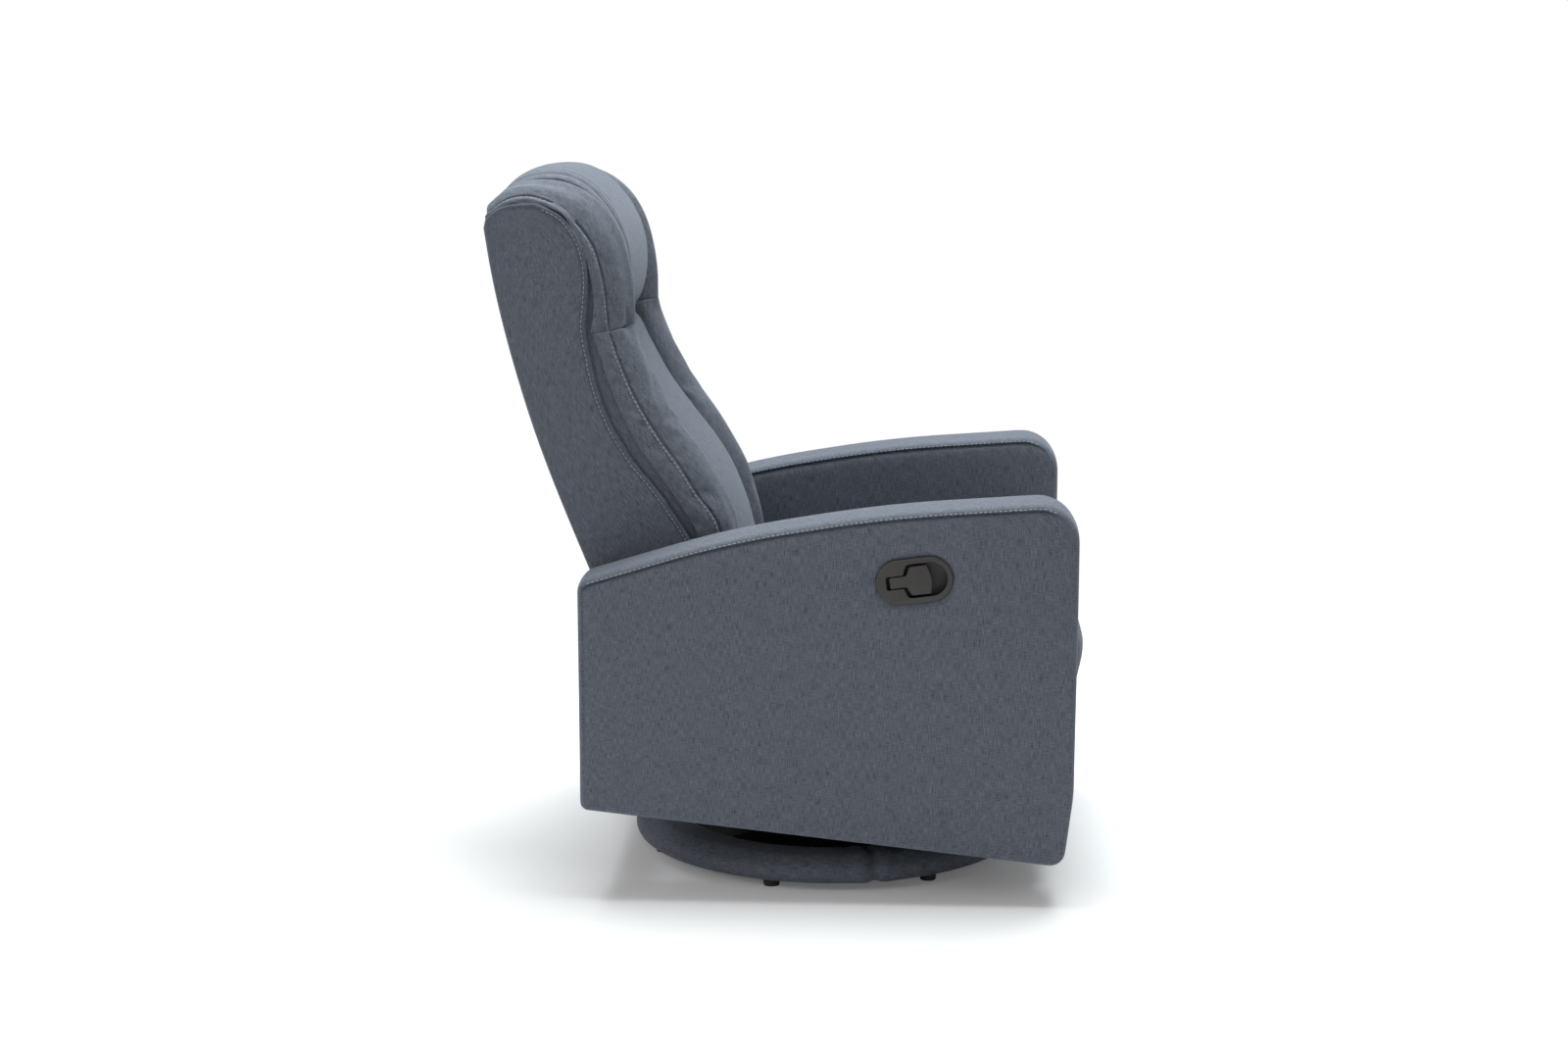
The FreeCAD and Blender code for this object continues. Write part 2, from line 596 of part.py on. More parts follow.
def seat_parts():
    frame = box(SEAT_REAR_X, SEAT_FRONT_X, -SEAT_HALF_W, SEAT_HALF_W, SEAT_LOW_Z, SEAT_TOP_Z)
    t = SEAT_RAIL_T
    frame = frame.cut(box(SEAT_REAR_X + t, SEAT_FRONT_X - t, t - SEAT_HALF_W, SEAT_HALF_W - t,
                          SEAT_LOW_Z, SEAT_TOP_Z))
    bolt_z = (SEAT_LOW_Z + SEAT_TOP_Z) / 2
    bolts = []
    for side, sign in SIDES:
        plate = seat_plate(sign)
        for x in SEAT_BOLTS_X:
            place = (x, bolt_z)
            hole = bar(place, BOLT_R + RUN, sign * (SEAT_HALF_W - t), sign * PLATE_OUT_Y)
            frame, plate = frame.cut(hole), plate.cut(hole)
            shank = bar(place, BOLT_R, sign * (SEAT_HALF_W - t), sign * PLATE_OUT_Y)
            bolts.append(shank.fuse(hexagon(place, sign * PLATE_OUT_Y, sign * (PLATE_OUT_Y + BOLT_HEAD_H))))
        keep("seat_plate_" + side, plate)
    keep("seat_frame", frame)
    keep("seat_bolts", *bolts)
    keep("seat_springs", *seat_springs())
    places = [(CUSHION_REAR_X, SEAT_TOP_Z + FIT), (CUSHION_REAR_X, CUSHION_EDGE_Z),
              ((CUSHION_REAR_X + CUSHION_LIP_X) / 2, CUSHION_CROWN_Z),
              (CUSHION_LIP_X, CUSHION_EDGE_Z), (CUSHION_LIP_X, SEAT_TOP_Z + FIT)]
    cushion = [place + (radius,) for place, radius in zip(places, CUSHION_CORNERS_R)]
    keep("seat_cushion", slab(cushion, -CUSHION_HALF_W, CUSHION_HALF_W))


def seat_plate(sign):
    rear = BACK_PIVOT_X - BRACKET_HALF_W
    front = GUIDE[0] + 2 * LINK_HALF_W
    low = SLIDE_Z - 2 * LINK_HALF_W
    corners = rectangle(rear, front, low, BACK_PIVOT_Z + BRACKET_HALF_W, SEAT_PLATE_CORNER_R)
    plate = slab(corners, sign * SEAT_HALF_W, sign * PLATE_OUT_Y)
    for x in SLIDE_PINS_X:
        plate = plate.fuse(bar((x, SLIDE_Z), SLIDE_PIN_R, sign * SEAT_HALF_W, sign * (ARM_IN_Y - SLIT)))
    for place in (LIFT, GUIDE):
        plate = plate.fuse(bar(place, LINK_PIN_R, sign * PLATE_OUT_Y, sign * LINK_Y))
    pivot = (BACK_PIVOT_X, BACK_PIVOT_Z)
    plate = plate.fuse(bar(pivot, BACK_PIN_R, sign * PLATE_OUT_Y, sign * BRACKET_Y))
    return plate.removeSplitter()


def seat_springs():
    """Sinuous wires from the rear rail to the front rail."""
    first = SEAT_REAR_X + SEAT_RAIL_T
    loop = (SEAT_FRONT_X - SEAT_RAIL_T - first) / SEAT_SPRING_LOOPS
    z = SEAT_TOP_Z - 2 * SEAT_SPRING_WIRE_R
    pitch = 2 * (SEAT_HALF_W - SEAT_RAIL_T) / (SEAT_SPRING_COUNT + 1)
    wires = []
    for i in range(SEAT_SPRING_COUNT):
        y = pitch * (i + 1) - SEAT_HALF_W + SEAT_RAIL_T
        path = []
        for k in range(SEAT_SPRING_LOOPS):
            x = first + loop * k
            bulge = y + (loop / 2 if k % 2 == 0 else -loop / 2)
            path.append(Part.Arc(V(x, y, z), V(x + loop / 2, bulge, z), V(x + loop, y, z)).toShape())
        wire = swept(path, V(first, y, z), V(0, 1, 0), SEAT_SPRING_WIRE_R)
        wires.append(wire.common(box(first, SEAT_FRONT_X - SEAT_RAIL_T, -SEAT_HALF_W, SEAT_HALF_W,
                                     SEAT_LOW_Z, SEAT_TOP_Z)))
    return wires


# Footrest

def link_parts():
    at = DRIVE_TUBE_AT / LINK_LEN
    tube_place = (LIFT[0] + LINK_DX * at, LIFT[1] + LINK_DZ * at)
    for side, sign in SIDES:
        y0, y1 = sign * LINK_Y, sign * (LINK_Y + LINK_T)
        stub = sign * (FRONT_LINK_Y - FIT)
        lift = strip([LIFT, LIFT_END], LINK_HALF_W, y0, y1).fuse(bar(LIFT_END, LINK_PIN_R, stub, y1))
        keep("lift_link_" + side, lift.cut(bar(LIFT, LINK_PIN_R + RUN, y0, y1)).removeSplitter())
        guide = strip([GUIDE, TILT, GUIDE_END], LINK_HALF_W, y0, y1)
        for place in (GUIDE_END, TILT):
            guide = guide.fuse(bar(place, LINK_PIN_R, stub, y1))
        keep("guide_link_" + side, guide.cut(bar(GUIDE, LINK_PIN_R + RUN, y0, y1)).removeSplitter())
        y0, y1 = sign * FRONT_LINK_Y, sign * (FRONT_LINK_Y + LINK_T)
        front = strip([LIFT_END, GUIDE_END, FOOT], LINK_HALF_W, y0, y1)
        front = front.cut(bar(LIFT_END, LINK_PIN_R + RUN, y0, y1))
        front = front.cut(bar(GUIDE_END, LINK_PIN_R + PIVOT_PLAY, y0, y1))
        keep("front_link_" + side, front.cut(bar(FOOT, LINK_PIN_R + RUN, y0, y1)))
        tilt = strip([TILT, FOOT_TILT], LINK_HALF_W, y0, y1).cut(bar(TILT, LINK_PIN_R + RUN, y0, y1))
        keep("tilt_link_" + side, tilt.cut(bar(FOOT_TILT, LINK_PIN_R + PIVOT_PLAY, y0, y1)))
        y0, y1 = sign * FOOT_BRACKET_Y, sign * (FOOT_BRACKET_Y + LINK_T)
        edge = rectangle(FOOT[0] - LINK_HALF_W, BOARD_REAR_X, FOOT[1] - 2 * LINK_HALF_W,
                         FOOT_TILT[1] + 2 * LINK_HALF_W, FOOT_BRACKET_CORNER_R)
        bracket = slab(edge, y0, y1)
        for place in (FOOT, FOOT_TILT):
            bracket = bracket.fuse(bar(place, LINK_PIN_R, y0, sign * (FRONT_LINK_Y + LINK_T + FIT)))
        keep("footrest_bracket_" + side, bracket.removeSplitter())
    tube = bar(tube_place, DRIVE_TUBE_R, -LINK_Y, LINK_Y)
    keep("drive_tube", tube.cut(bar(tube_place, DRIVE_TUBE_R - DRIVE_TUBE_WALL, -LINK_Y, LINK_Y)))


def footrest_parts():
    keep("footrest_board", box(BOARD_REAR_X, BOARD_FRONT_X, -BOARD_HALF_W, BOARD_HALF_W,
                               PAD_LOW_Z + PAD_MARGIN, PAD_TOP_Z - PAD_MARGIN))
    rear = BOARD_FRONT_X + FIT
    places = [(rear, PAD_LOW_Z), (rear, PAD_TOP_Z), (PAD_TOP_X, PAD_TOP_Z), (PAD_BULGE_X, PAD_BULGE_Z),
              (PAD_TOE_X, (PAD_LOW_Z + PAD_BULGE_Z) / 2), (PAD_TOE_X, PAD_LOW_Z)]
    corners = [place + (radius,) for place, radius in zip(places, PAD_CORNERS_R)]
    keep("footrest_pad", slab(corners, -PAD_HALF_W, PAD_HALF_W))


# Back

REAR_LINE = [(-222.0, 314.0), (-303.0, 501.0), (-385.0, 723.0), (-438.0, 941.0), (-446.0, 995.0)]
TOP_LINE = [(-446.0, 995.0), (-436.0, 1025.0), (-405.0, 1039.0), (-365.0, 1036.0)]
SEAM_LINE = [(-365.0, 1036.0), (-312.0, 990.0), (-297.0, 930.0), (-298.0, 850.0), (-284.0, 754.0),
             (-236.0, 651.0), (-156.0, 540.0), (-112.0, 470.0)]
CROWN_LINE = [(-46.0, 470.0), (-96.0, 584.0), (-171.0, 706.0), (-217.0, 803.0), (-230.0, 860.0),
              (-236.0, 935.0), (-262.0, 1008.0), (-318.0, 1057.0), (-372.0, 1067.0), (-425.0, 1048.0)]
CORE_LINE = [(-425.0, 1048.0), (-412.0, 1020.0), (-385.0, 1000.0), (-330.0, 760.0), (-180.0, 475.0),
             (-46.0, 470.0)]


def back_profile():
    return closed_face([curve(REAR_LINE), curve(TOP_LINE), curve(SEAM_LINE),
                        straight(SEAM_LINE[-1], REAR_LINE[0])])


def cushion_profile(recess, drop):
    """Padding in front of the side seam, set back from the bolsters' crown."""
    edges = [curve(CROWN_LINE)] + [straight(a, b) for a, b in zip(CORE_LINE, CORE_LINE[1:])]
    face = closed_face(edges)
    face.translate(V(-recess, 0, -drop))
    core = back_profile()
    core.translate(V(FIT, 0, FIT))
    return face.cut(core)


def largest(shape):
    return max(shape.Solids, key=lambda solid: solid.Volume)


def back_parts():
    profile = back_profile()
    inner = profile.copy()
    inner.translate(V(BACK_WALL, 0, -BACK_WALL))
    shell = largest(slab(profile.cut(inner), -BACK_HALF_W, BACK_HALF_W))
    for side, sign in SIDES:
        shell = shell.fuse(slab(profile, sign * (BACK_HALF_W - BACK_WALL), sign * BACK_HALF_W))
    keep("back_shell", largest(shell))
    reach = 2 * BACK_HALF_W
    above = box(-reach, reach, -reach, reach, HEAD_SPLIT_Z + FIT / 2, 4 * reach)
    below = box(-reach, reach, -reach, reach, 0, HEAD_SPLIT_Z - FIT / 2)
    whole = cushion_profile(0.0, 0.0)
    for side, sign in SIDES:
        bolster = slab(whole, sign * (PANEL_HALF_W + FIT), sign * BACK_HALF_W)
        keep("head_bolster_" + side, largest(bolster.common(above)))
        keep("side_bolster_" + side, largest(bolster.common(below)))
    head = slab(cushion_profile(HEAD_RECESS, HEAD_RECESS / 2), -PANEL_HALF_W, PANEL_HALF_W)
    keep("head_panel", largest(head.common(above)))
    lumbar = slab(cushion_profile(LUMBAR_RECESS, 0.0), -PANEL_HALF_W, PANEL_HALF_W)
    keep("lumbar_panel", largest(lumbar.common(below)))
    back_frame_parts()


def back_frame_parts():
    lean = math.atan2(POST_FOOT_X - POST_HEAD_X, POST_HEAD_Z - POST_FOOT_Z)
    height = math.hypot(POST_FOOT_X - POST_HEAD_X, POST_HEAD_Z - POST_FOOT_Z)
    post_out = BRACKET_Y
    post_in = post_out - POST_T

    def leaned(shape):
        shape.rotate(V(0, 0, 0), V(0, 1, 0), -math.degrees(lean))
        shape.translate(V(POST_FOOT_X, 0, POST_FOOT_Z))
        return shape

    frame = box(-POST_W / 2, POST_W / 2, post_in, post_out, 0, height)
    frame = frame.fuse(box(-POST_W / 2, POST_W / 2, -post_out, -post_in, 0, height))
    for z in (0.0, height / 2 - POST_W / 2, height - POST_W):
        frame = frame.fuse(box(-POST_T / 2, POST_T / 2, -post_in, post_in, z, z + POST_W))
    keep("back_frame", leaned(frame.removeSplitter()))
    webs = []
    step = (height - 2 * POST_W) / WEB_COUNT
    for i in range(WEB_COUNT):
        z = POST_W + step * (i + 0.5) - WEB_W / 2
        webs.append(leaned(box(POST_W / 2, POST_W / 2 + WEB_T, -post_out, post_out, z, z + WEB_W)))
    keep("back_webbing", *webs)
    pivot = (BACK_PIVOT_X, BACK_PIVOT_Z)
    elbow = (POST_FOOT_X, POST_FOOT_Z + POST_W)
    tip = (POST_FOOT_X - 3 * POST_W * math.sin(lean), POST_FOOT_Z + 3 * POST_W * math.cos(lean))
    for side, sign in SIDES:
        y0, y1 = sign * BRACKET_Y, sign * (BRACKET_Y + BRACKET_T)
        bracket = strip([pivot, elbow, tip], BRACKET_HALF_W, y0, y1)
        keep("back_bracket_" + side, bracket.cut(bar(pivot, BACK_PIN_R + RUN, y0, y1)))


def main():
    base_parts()
    rocker_parts()
    chassis_parts()
    arm_parts()
    handle_parts()
    release_parts()
    seat_parts()
    link_parts()
    footrest_parts()
    back_parts()
    os.makedirs("parts", exist_ok=True)
    for name, shape in NODES.items():
        shape.exportStep("parts/" + name + ".step")
        if not shape.isValid():
            print("not valid:", name)
    whole = Part.makeCompound(list(NODES.values())).BoundBox
    print(len(NODES), "nodes", whole)


main()
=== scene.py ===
import json
import math

import bpy
import numpy as np
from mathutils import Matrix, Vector
from mathutils.kdtree import KDTree


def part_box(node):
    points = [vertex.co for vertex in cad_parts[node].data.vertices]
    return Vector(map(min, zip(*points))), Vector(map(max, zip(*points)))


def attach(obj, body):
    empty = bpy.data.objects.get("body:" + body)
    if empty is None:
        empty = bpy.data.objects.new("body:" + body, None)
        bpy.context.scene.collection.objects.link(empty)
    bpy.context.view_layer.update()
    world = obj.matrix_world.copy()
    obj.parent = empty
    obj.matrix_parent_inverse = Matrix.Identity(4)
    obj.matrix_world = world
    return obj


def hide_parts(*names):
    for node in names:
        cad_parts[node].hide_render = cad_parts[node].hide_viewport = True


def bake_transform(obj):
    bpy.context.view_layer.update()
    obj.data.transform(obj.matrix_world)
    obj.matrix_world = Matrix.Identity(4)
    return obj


# Swivel rocker recliner in blue-grey linen upholstery. Metres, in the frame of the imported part.
# Lines of the side view are written in millimetres as (x, z) and turned to metres by MM.

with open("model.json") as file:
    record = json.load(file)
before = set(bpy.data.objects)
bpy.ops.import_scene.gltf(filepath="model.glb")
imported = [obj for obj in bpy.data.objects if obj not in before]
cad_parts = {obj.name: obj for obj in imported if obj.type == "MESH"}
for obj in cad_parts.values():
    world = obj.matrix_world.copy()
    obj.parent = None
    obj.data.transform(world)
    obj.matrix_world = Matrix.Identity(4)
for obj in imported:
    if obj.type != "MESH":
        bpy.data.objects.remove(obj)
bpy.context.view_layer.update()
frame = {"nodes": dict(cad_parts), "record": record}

MM = 0.001
SIDES = (("left", 1), ("right", -1))
SEWN_DOWN = "sewn_down"
WEAVE_UV = "weave"

# Side-view lines
ARM_CORNERS = [(-302, 140.5, 13), (-302, 487, 22), (-80, 554.5, 1500), (150, 592.5, 2000), (431, 612, 58),
               (431, 420, 500), (429.5, 170, 300), (416, 61, 22)]
BACK_REAR = [(-222, 314), (-303, 501), (-385, 723), (-438, 941), (-446, 995)]
BACK_TOP = [(-446, 995), (-441, 1012), (-425, 1025), (-398, 1032), (-368, 1033)]
BACK_FRONT = [(-368, 1033), (-330, 1014), (-311, 992), (-298, 963), (-292, 926), (-294, 882), (-297, 850),
              (-291, 808), (-280, 757), (-260, 705), (-231, 655), (-196, 611), (-151, 545), (-112, 470)]
HEAD_CREASE = [(-289.5, 844), (-285.5, 862), (-285.5, 903), (-297, 954), (-312, 984), (-324, 1011),
               (-345, 1024), (-364, 1029), (-390, 1031), (-413, 1028), (-438, 1012)]
HEAD_SEAM = [(-262.5, 846), (-264.5, 866), (-268, 902), (-274, 932), (-284, 966), (-303, 995), (-328, 1019),
             (-350, 1034), (-381, 1042), (-408, 1038), (-438, 1018)]
HEAD_RIDGE = [(-238, 849), (-238.5, 895), (-243, 940), (-251, 970), (-264, 995), (-281, 1020), (-303, 1040),
              (-328, 1050), (-352, 1056), (-378, 1059), (-402, 1056), (-423, 1046), (-439, 1031)]
HEAD_CROWN = [(-223.5, 850), (-225, 897), (-231, 938), (-238, 966), (-249, 994), (-263, 1017), (-282, 1037),
              (-300, 1050), (-319, 1059), (-340, 1065), (-366, 1067), (-394, 1064),
              (-419, 1055), (-438, 1037)]
HEAD_PANEL = [(-260, 848), (-249, 872), (-243, 909), (-245, 951), (-260, 994), (-276, 1019), (-295, 1040),
              (-315, 1055), (-340, 1065), (-367, 1066), (-394, 1061), (-418, 1049), (-436, 1031)]
SIDE_CREASE = [(-121, 440), (-124, 495), (-136, 547), (-158, 583), (-189, 629), (-220, 673), (-244, 720),
               (-263, 766), (-277, 810), (-285.5, 836)]
SIDE_SEAM = [(-92, 440), (-93, 500), (-103, 556), (-132, 598), (-158, 640), (-189, 684), (-216, 728),
             (-237, 772), (-250, 806), (-260.5, 838)]
SIDE_RIDGE = [(-62, 440), (-63, 472), (-67, 505), (-82, 560), (-96, 594), (-116, 629), (-145, 673),
              (-172, 710), (-194, 747), (-213, 792), (-226.5, 822), (-235.5, 841)]
SIDE_CROWN = [(-51, 440), (-51, 466), (-55, 492), (-66, 535), (-81, 580), (-95, 607), (-121, 653),
              (-166, 720), (-190, 766), (-205, 796), (-215, 820), (-220.5, 836), (-223, 848)]
LUMBAR_PANEL = [(-63, 428), (-67, 445), (-80, 490), (-93, 538), (-114, 589), (-140, 632), (-172, 677),
                (-203, 722), (-224, 757), (-247, 799), (-262, 830)]
PAD_FRONT = [(97, 400), (130, 421), (207, 433), (268, 431), (320, 440), (350, 447), (376, 450),
             (393, 447), (400, 443)]

# Photograph's camera
CAMERA_PLACE = (0.18414, -4.27099, 1.31940)
CAMERA_DOWN = 0.1871
CAMERA_TURN = 0.0465
CAMERA_LENS = 63.0


# Drawing helpers

TINY = 1e-12
SMOOTH_STEPS = 40
SEWN_GAP = 0.0001
RIPPLE_LENGTHS = (0.023, 0.037, 0.061, 0.11)
RIPPLE_SIZE = 2.6
FILLING_FRAMES = 20
FILLING = {"quality": 5, "mass": 0.3, "use_pressure": True, "uniform_pressure_force": 4.0,
           "vertex_group_mass": SEWN_DOWN, "tension_stiffness": 20, "compression_stiffness": 20,
           "bending_stiffness": 1.5}


def deselect():
    if bpy.context.object and bpy.context.object.mode != "OBJECT":
        bpy.ops.object.mode_set(mode="OBJECT")
    bpy.ops.object.select_all(action="DESELECT")


def activate(piece):
    deselect()
    piece.select_set(True)
    bpy.context.view_layer.objects.active = piece


def named(name):
    """The active piece, with its mesh named like it."""
    piece = bpy.context.object
    piece.name = piece.data.name = name
    return piece


def edit_all():
    """Edit the active piece with everything selected."""
    bpy.ops.object.mode_set(mode="EDIT")
    bpy.ops.mesh.select_all(action="SELECT")


def face_outwards():
    """Turn all faces outwards and leave edit mode."""
    bpy.ops.mesh.select_all(action="SELECT")
    bpy.ops.mesh.normals_make_consistent(inside=False)
    bpy.ops.object.mode_set(mode="OBJECT")


def applied(piece, kind, **settings):
    """Shape the piece by a modifier of the kind."""
    activate(piece)
    modifier = piece.modifiers.new(kind.lower(), kind)
    for key, value in settings.items():
        setattr(modifier, key, value)
    bpy.ops.object.modifier_apply(modifier=modifier.name)


def unit(ways):
    return ways / (np.linalg.norm(ways, axis=-1, keepdims=True) + TINY)


def running(steps):
    return np.concatenate([[0], np.cumsum(steps)])


def run_length(line):
    return running(np.linalg.norm(np.diff(line, axis=0), axis=1))


def place_at(length, along, line):
    """Places on a line, at lengths measured along it."""
    return np.stack([np.interp(length, along, column) for column in line.T], axis=-1)


def even(line, count, ease=0.0):
    """The polyline resampled at count points; ease crowds them towards both ends."""
    line = np.asarray(line, float)
    along = run_length(line)
    share = np.linspace(0, 1, count)
    share = (1 - ease) * share + ease * (0.5 - 0.5 * np.cos(np.pi * share))
    return place_at(share * along[-1], along, line)


def smooth_line(places, count):
    """Smooth curve through (x, z) places in millimetres, as count points in metres."""
    p = np.array(places, float) * MM
    t = run_length(p)
    slope = np.gradient(p, t, axis=0)
    fine = np.linspace(0, t[-1], SMOOTH_STEPS * len(p))
    i = np.clip(np.searchsorted(t, fine, side="right") - 1, 0, len(t) - 2)
    h = (t[i + 1] - t[i])[:, None]
    s = (fine - t[i])[:, None] / h
    line = ((2 * s ** 3 - 3 * s ** 2 + 1) * p[i] + (s ** 3 - 2 * s ** 2 + s) * h * slope[i]
            + (3 * s ** 2 - 2 * s ** 3) * p[i + 1] + (s ** 3 - s ** 2) * h * slope[i + 1])
    return even(line, count)


def normals_of(line, closed=False):
    """Unit normals in the plane, to the left of the way along the line."""
    if closed:
        ahead = np.roll(line, -1, axis=0) - np.roll(line, 1, axis=0)
    else:
        ahead = np.gradient(line, axis=0)
    ahead = unit(ahead)
    return np.stack([-ahead[:, 1], ahead[:, 0]], axis=1)


def rounded(corners, arc_points=12):
    """Closed polyline of straight runs with round corners (a, b, radius), in metres."""
    out = []
    places = np.array(corners, float) * MM
    for i, (a, b, radius) in enumerate(places):
        here = np.array([a, b])
        before = unit(places[i - 1][:2] - here)
        after = unit(places[(i + 1) % len(places)][:2] - here)
        half = math.acos(np.clip(before @ after, -1, 1)) / 2
        spread = math.pi - 2 * half
        centre = here + unit(before + after) * radius / math.sin(half)
        first = here + before * radius / math.tan(half) - centre
        last = here + after * radius / math.tan(half) - centre
        for w in np.arange(arc_points + 1) / arc_points:
            way = math.sin((1 - w) * spread) * first + math.sin(w * spread) * last
            out.append(centre + way / math.sin(spread))
    return np.array(out)


def rectangle(low, high, radii, insets):
    """Round-cornered rectangle in metres and marks inside its corners, from the low corner round."""
    places = ((low[0], low[1]), (high[0], low[1]), (high[0], high[1]), (low[0], high[1]))
    inwards = ((1, 1), (-1, 1), (-1, -1), (1, -1))
    loop = rounded([(a, b, radius) for (a, b), radius in zip(places, radii)])
    marks = [(a + across * by, b + up * by) for (a, b), (across, up), by in zip(places, inwards, insets)]
    return loop, marks


def quad_sides(loop, corners, across, up, ease):
    """Split a closed polyline at its four corners: bottom, front, top and rear, evenly resampled."""
    ahead = np.roll(loop, -1, axis=0)
    if np.sum(loop[:, 0] * ahead[:, 1] - ahead[:, 0] * loop[:, 1]) < 0:
        loop = loop[::-1]
    marks = [int(np.argmin(np.linalg.norm(loop - np.array(c) * MM, axis=1))) for c in corners]
    sides = []
    for k in range(4):
        first, last = marks[k], marks[(k + 1) % 4]
        run = np.concatenate([loop[first:], loop[:last + 1]]) if last <= first else loop[first:last + 1]
        sides.append(even(run, (across if k % 2 == 0 else up) + 1, ease))
    return sides


def coons(bottom, front, top, rear):
    """Grid of points filling four sides given in order round the loop."""
    top, rear = top[::-1], rear[::-1]
    u, v = run_length(bottom), run_length(rear)
    u, v = (u / u[-1])[None, :, None], (v / v[-1])[:, None, None]
    ruled = (1 - v) * bottom[None] + v * top[None] + (1 - u) * rear[:, None] + u * front[:, None]
    corner = ((1 - u) * (1 - v) * bottom[0] + u * (1 - v) * bottom[-1]
              + (1 - u) * v * top[0] + u * v * top[-1])
    return ruled - corner


def vertex_values(piece, kind):
    flat = np.empty(len(piece.data.vertices) * 3)
    piece.data.vertices.foreach_get(kind, flat)
    return flat.reshape(-1, 3)


def points_of(piece):
    return vertex_values(piece, "co")


def normals_at(piece):
    return vertex_values(piece, "normal")


def set_points(piece, points):
    piece.data.vertices.foreach_set("co", np.ascontiguousarray(points).ravel())
    piece.data.update()


def grid_piece(name, rows):
    """A grid primitive whose points are drawn out to rows, with its own length as the weave's UV."""
    n, m = rows.shape[:2]
    deselect()
    bpy.ops.mesh.primitive_grid_add(x_subdivisions=m - 1, y_subdivisions=n - 1, size=2)
    piece = named(name)
    flat = points_of(piece)
    col = np.rint((flat[:, 0] + 1) / 2 * (m - 1)).astype(int)
    row = np.rint((flat[:, 1] + 1) / 2 * (n - 1)).astype(int)
    set_points(piece, rows[row, col])
    u = running(np.linalg.norm(np.diff(rows, axis=1), axis=2).mean(axis=0))
    v = running(np.linalg.norm(np.diff(rows, axis=0), axis=2).mean(axis=1))
    corner = np.empty(len(piece.data.loops), int)
    piece.data.loops.foreach_get("vertex_index", corner)
    layer = piece.data.uv_layers[0]
    layer.name = WEAVE_UV
    layer.data.foreach_set("uv", np.stack([u[col[corner]], v[row[corner]]], axis=1).ravel())
    return piece


def sewn(name, *parts):
    """Join the parts into one piece whose meeting edges are merged and whose faces look outwards."""
    deselect()
    for part in parts:
        part.select_set(True)
    bpy.context.view_layer.objects.active = parts[0]
    if len(parts) > 1:
        bpy.ops.object.join()
    piece = named(name)
    edit_all()
    bpy.ops.mesh.remove_doubles(threshold=SEWN_GAP)
    face_outwards()
    return piece


def near(points, line):
    """Distance from each point to a line given as close points, and the index of the nearest."""
    points, line = (np.c_[p, np.zeros((len(p), 3 - p.shape[1]))] for p in (points, line))
    tree = KDTree(len(line))
    for i, p in enumerate(line):
        tree.insert(p, i)
    tree.balance()
    found = [tree.find(p) for p in points]
    return np.array([f[2] for f in found]), np.array([f[1] for f in found])


def ripple(along, seed):
    """Uneven wave along a seam, between about -1 and 1, the same on every run."""
    rng = np.random.default_rng(seed)
    waves = np.zeros_like(along)
    for length in RIPPLE_LENGTHS:
        waves += np.sin(2 * np.pi * along / (length * rng.uniform(0.85, 1.15)) + rng.uniform(0, 6.3))
    return waves / RIPPLE_SIZE


def finish_mesh(piece, levels=1):
    if levels:
        applied(piece, "SUBSURF", levels=levels, render_levels=levels)
    activate(piece)
    bpy.ops.object.shade_smooth()


def puffed(piece, pinned, cap, swell):
    """Cloth blown up by its filling; pinned points are held by their seams and no point moves past cap."""
    before = points_of(piece)
    group = piece.vertex_groups.new(name=SEWN_DOWN)
    group.add([int(i) for i in np.nonzero(pinned)[0]], 1.0, "REPLACE")
    activate(piece)
    cloth = piece.modifiers.new("filling", "CLOTH")
    for key, value in FILLING.items():
        setattr(cloth.settings, key, value)
    cloth.settings.shrink_min = -swell
    cloth.settings.effector_weights.gravity = 0
    cloth.collision_settings.use_collision = False
    cloth.point_cache.frame_start = 1
    cloth.point_cache.frame_end = FILLING_FRAMES
    for step in range(1, FILLING_FRAMES + 1):
        bpy.context.scene.frame_set(step)
    bpy.ops.object.modifier_apply(modifier=cloth.name)
    bpy.context.scene.frame_set(1)
    piece.vertex_groups.clear()
    moved = points_of(piece) - before
    length = np.linalg.norm(moved, axis=1)[:, None]
    moved *= np.minimum(1, cap * np.tanh(length / cap) / (length + 1e-9))
    set_points(piece, before + moved)


# Materials

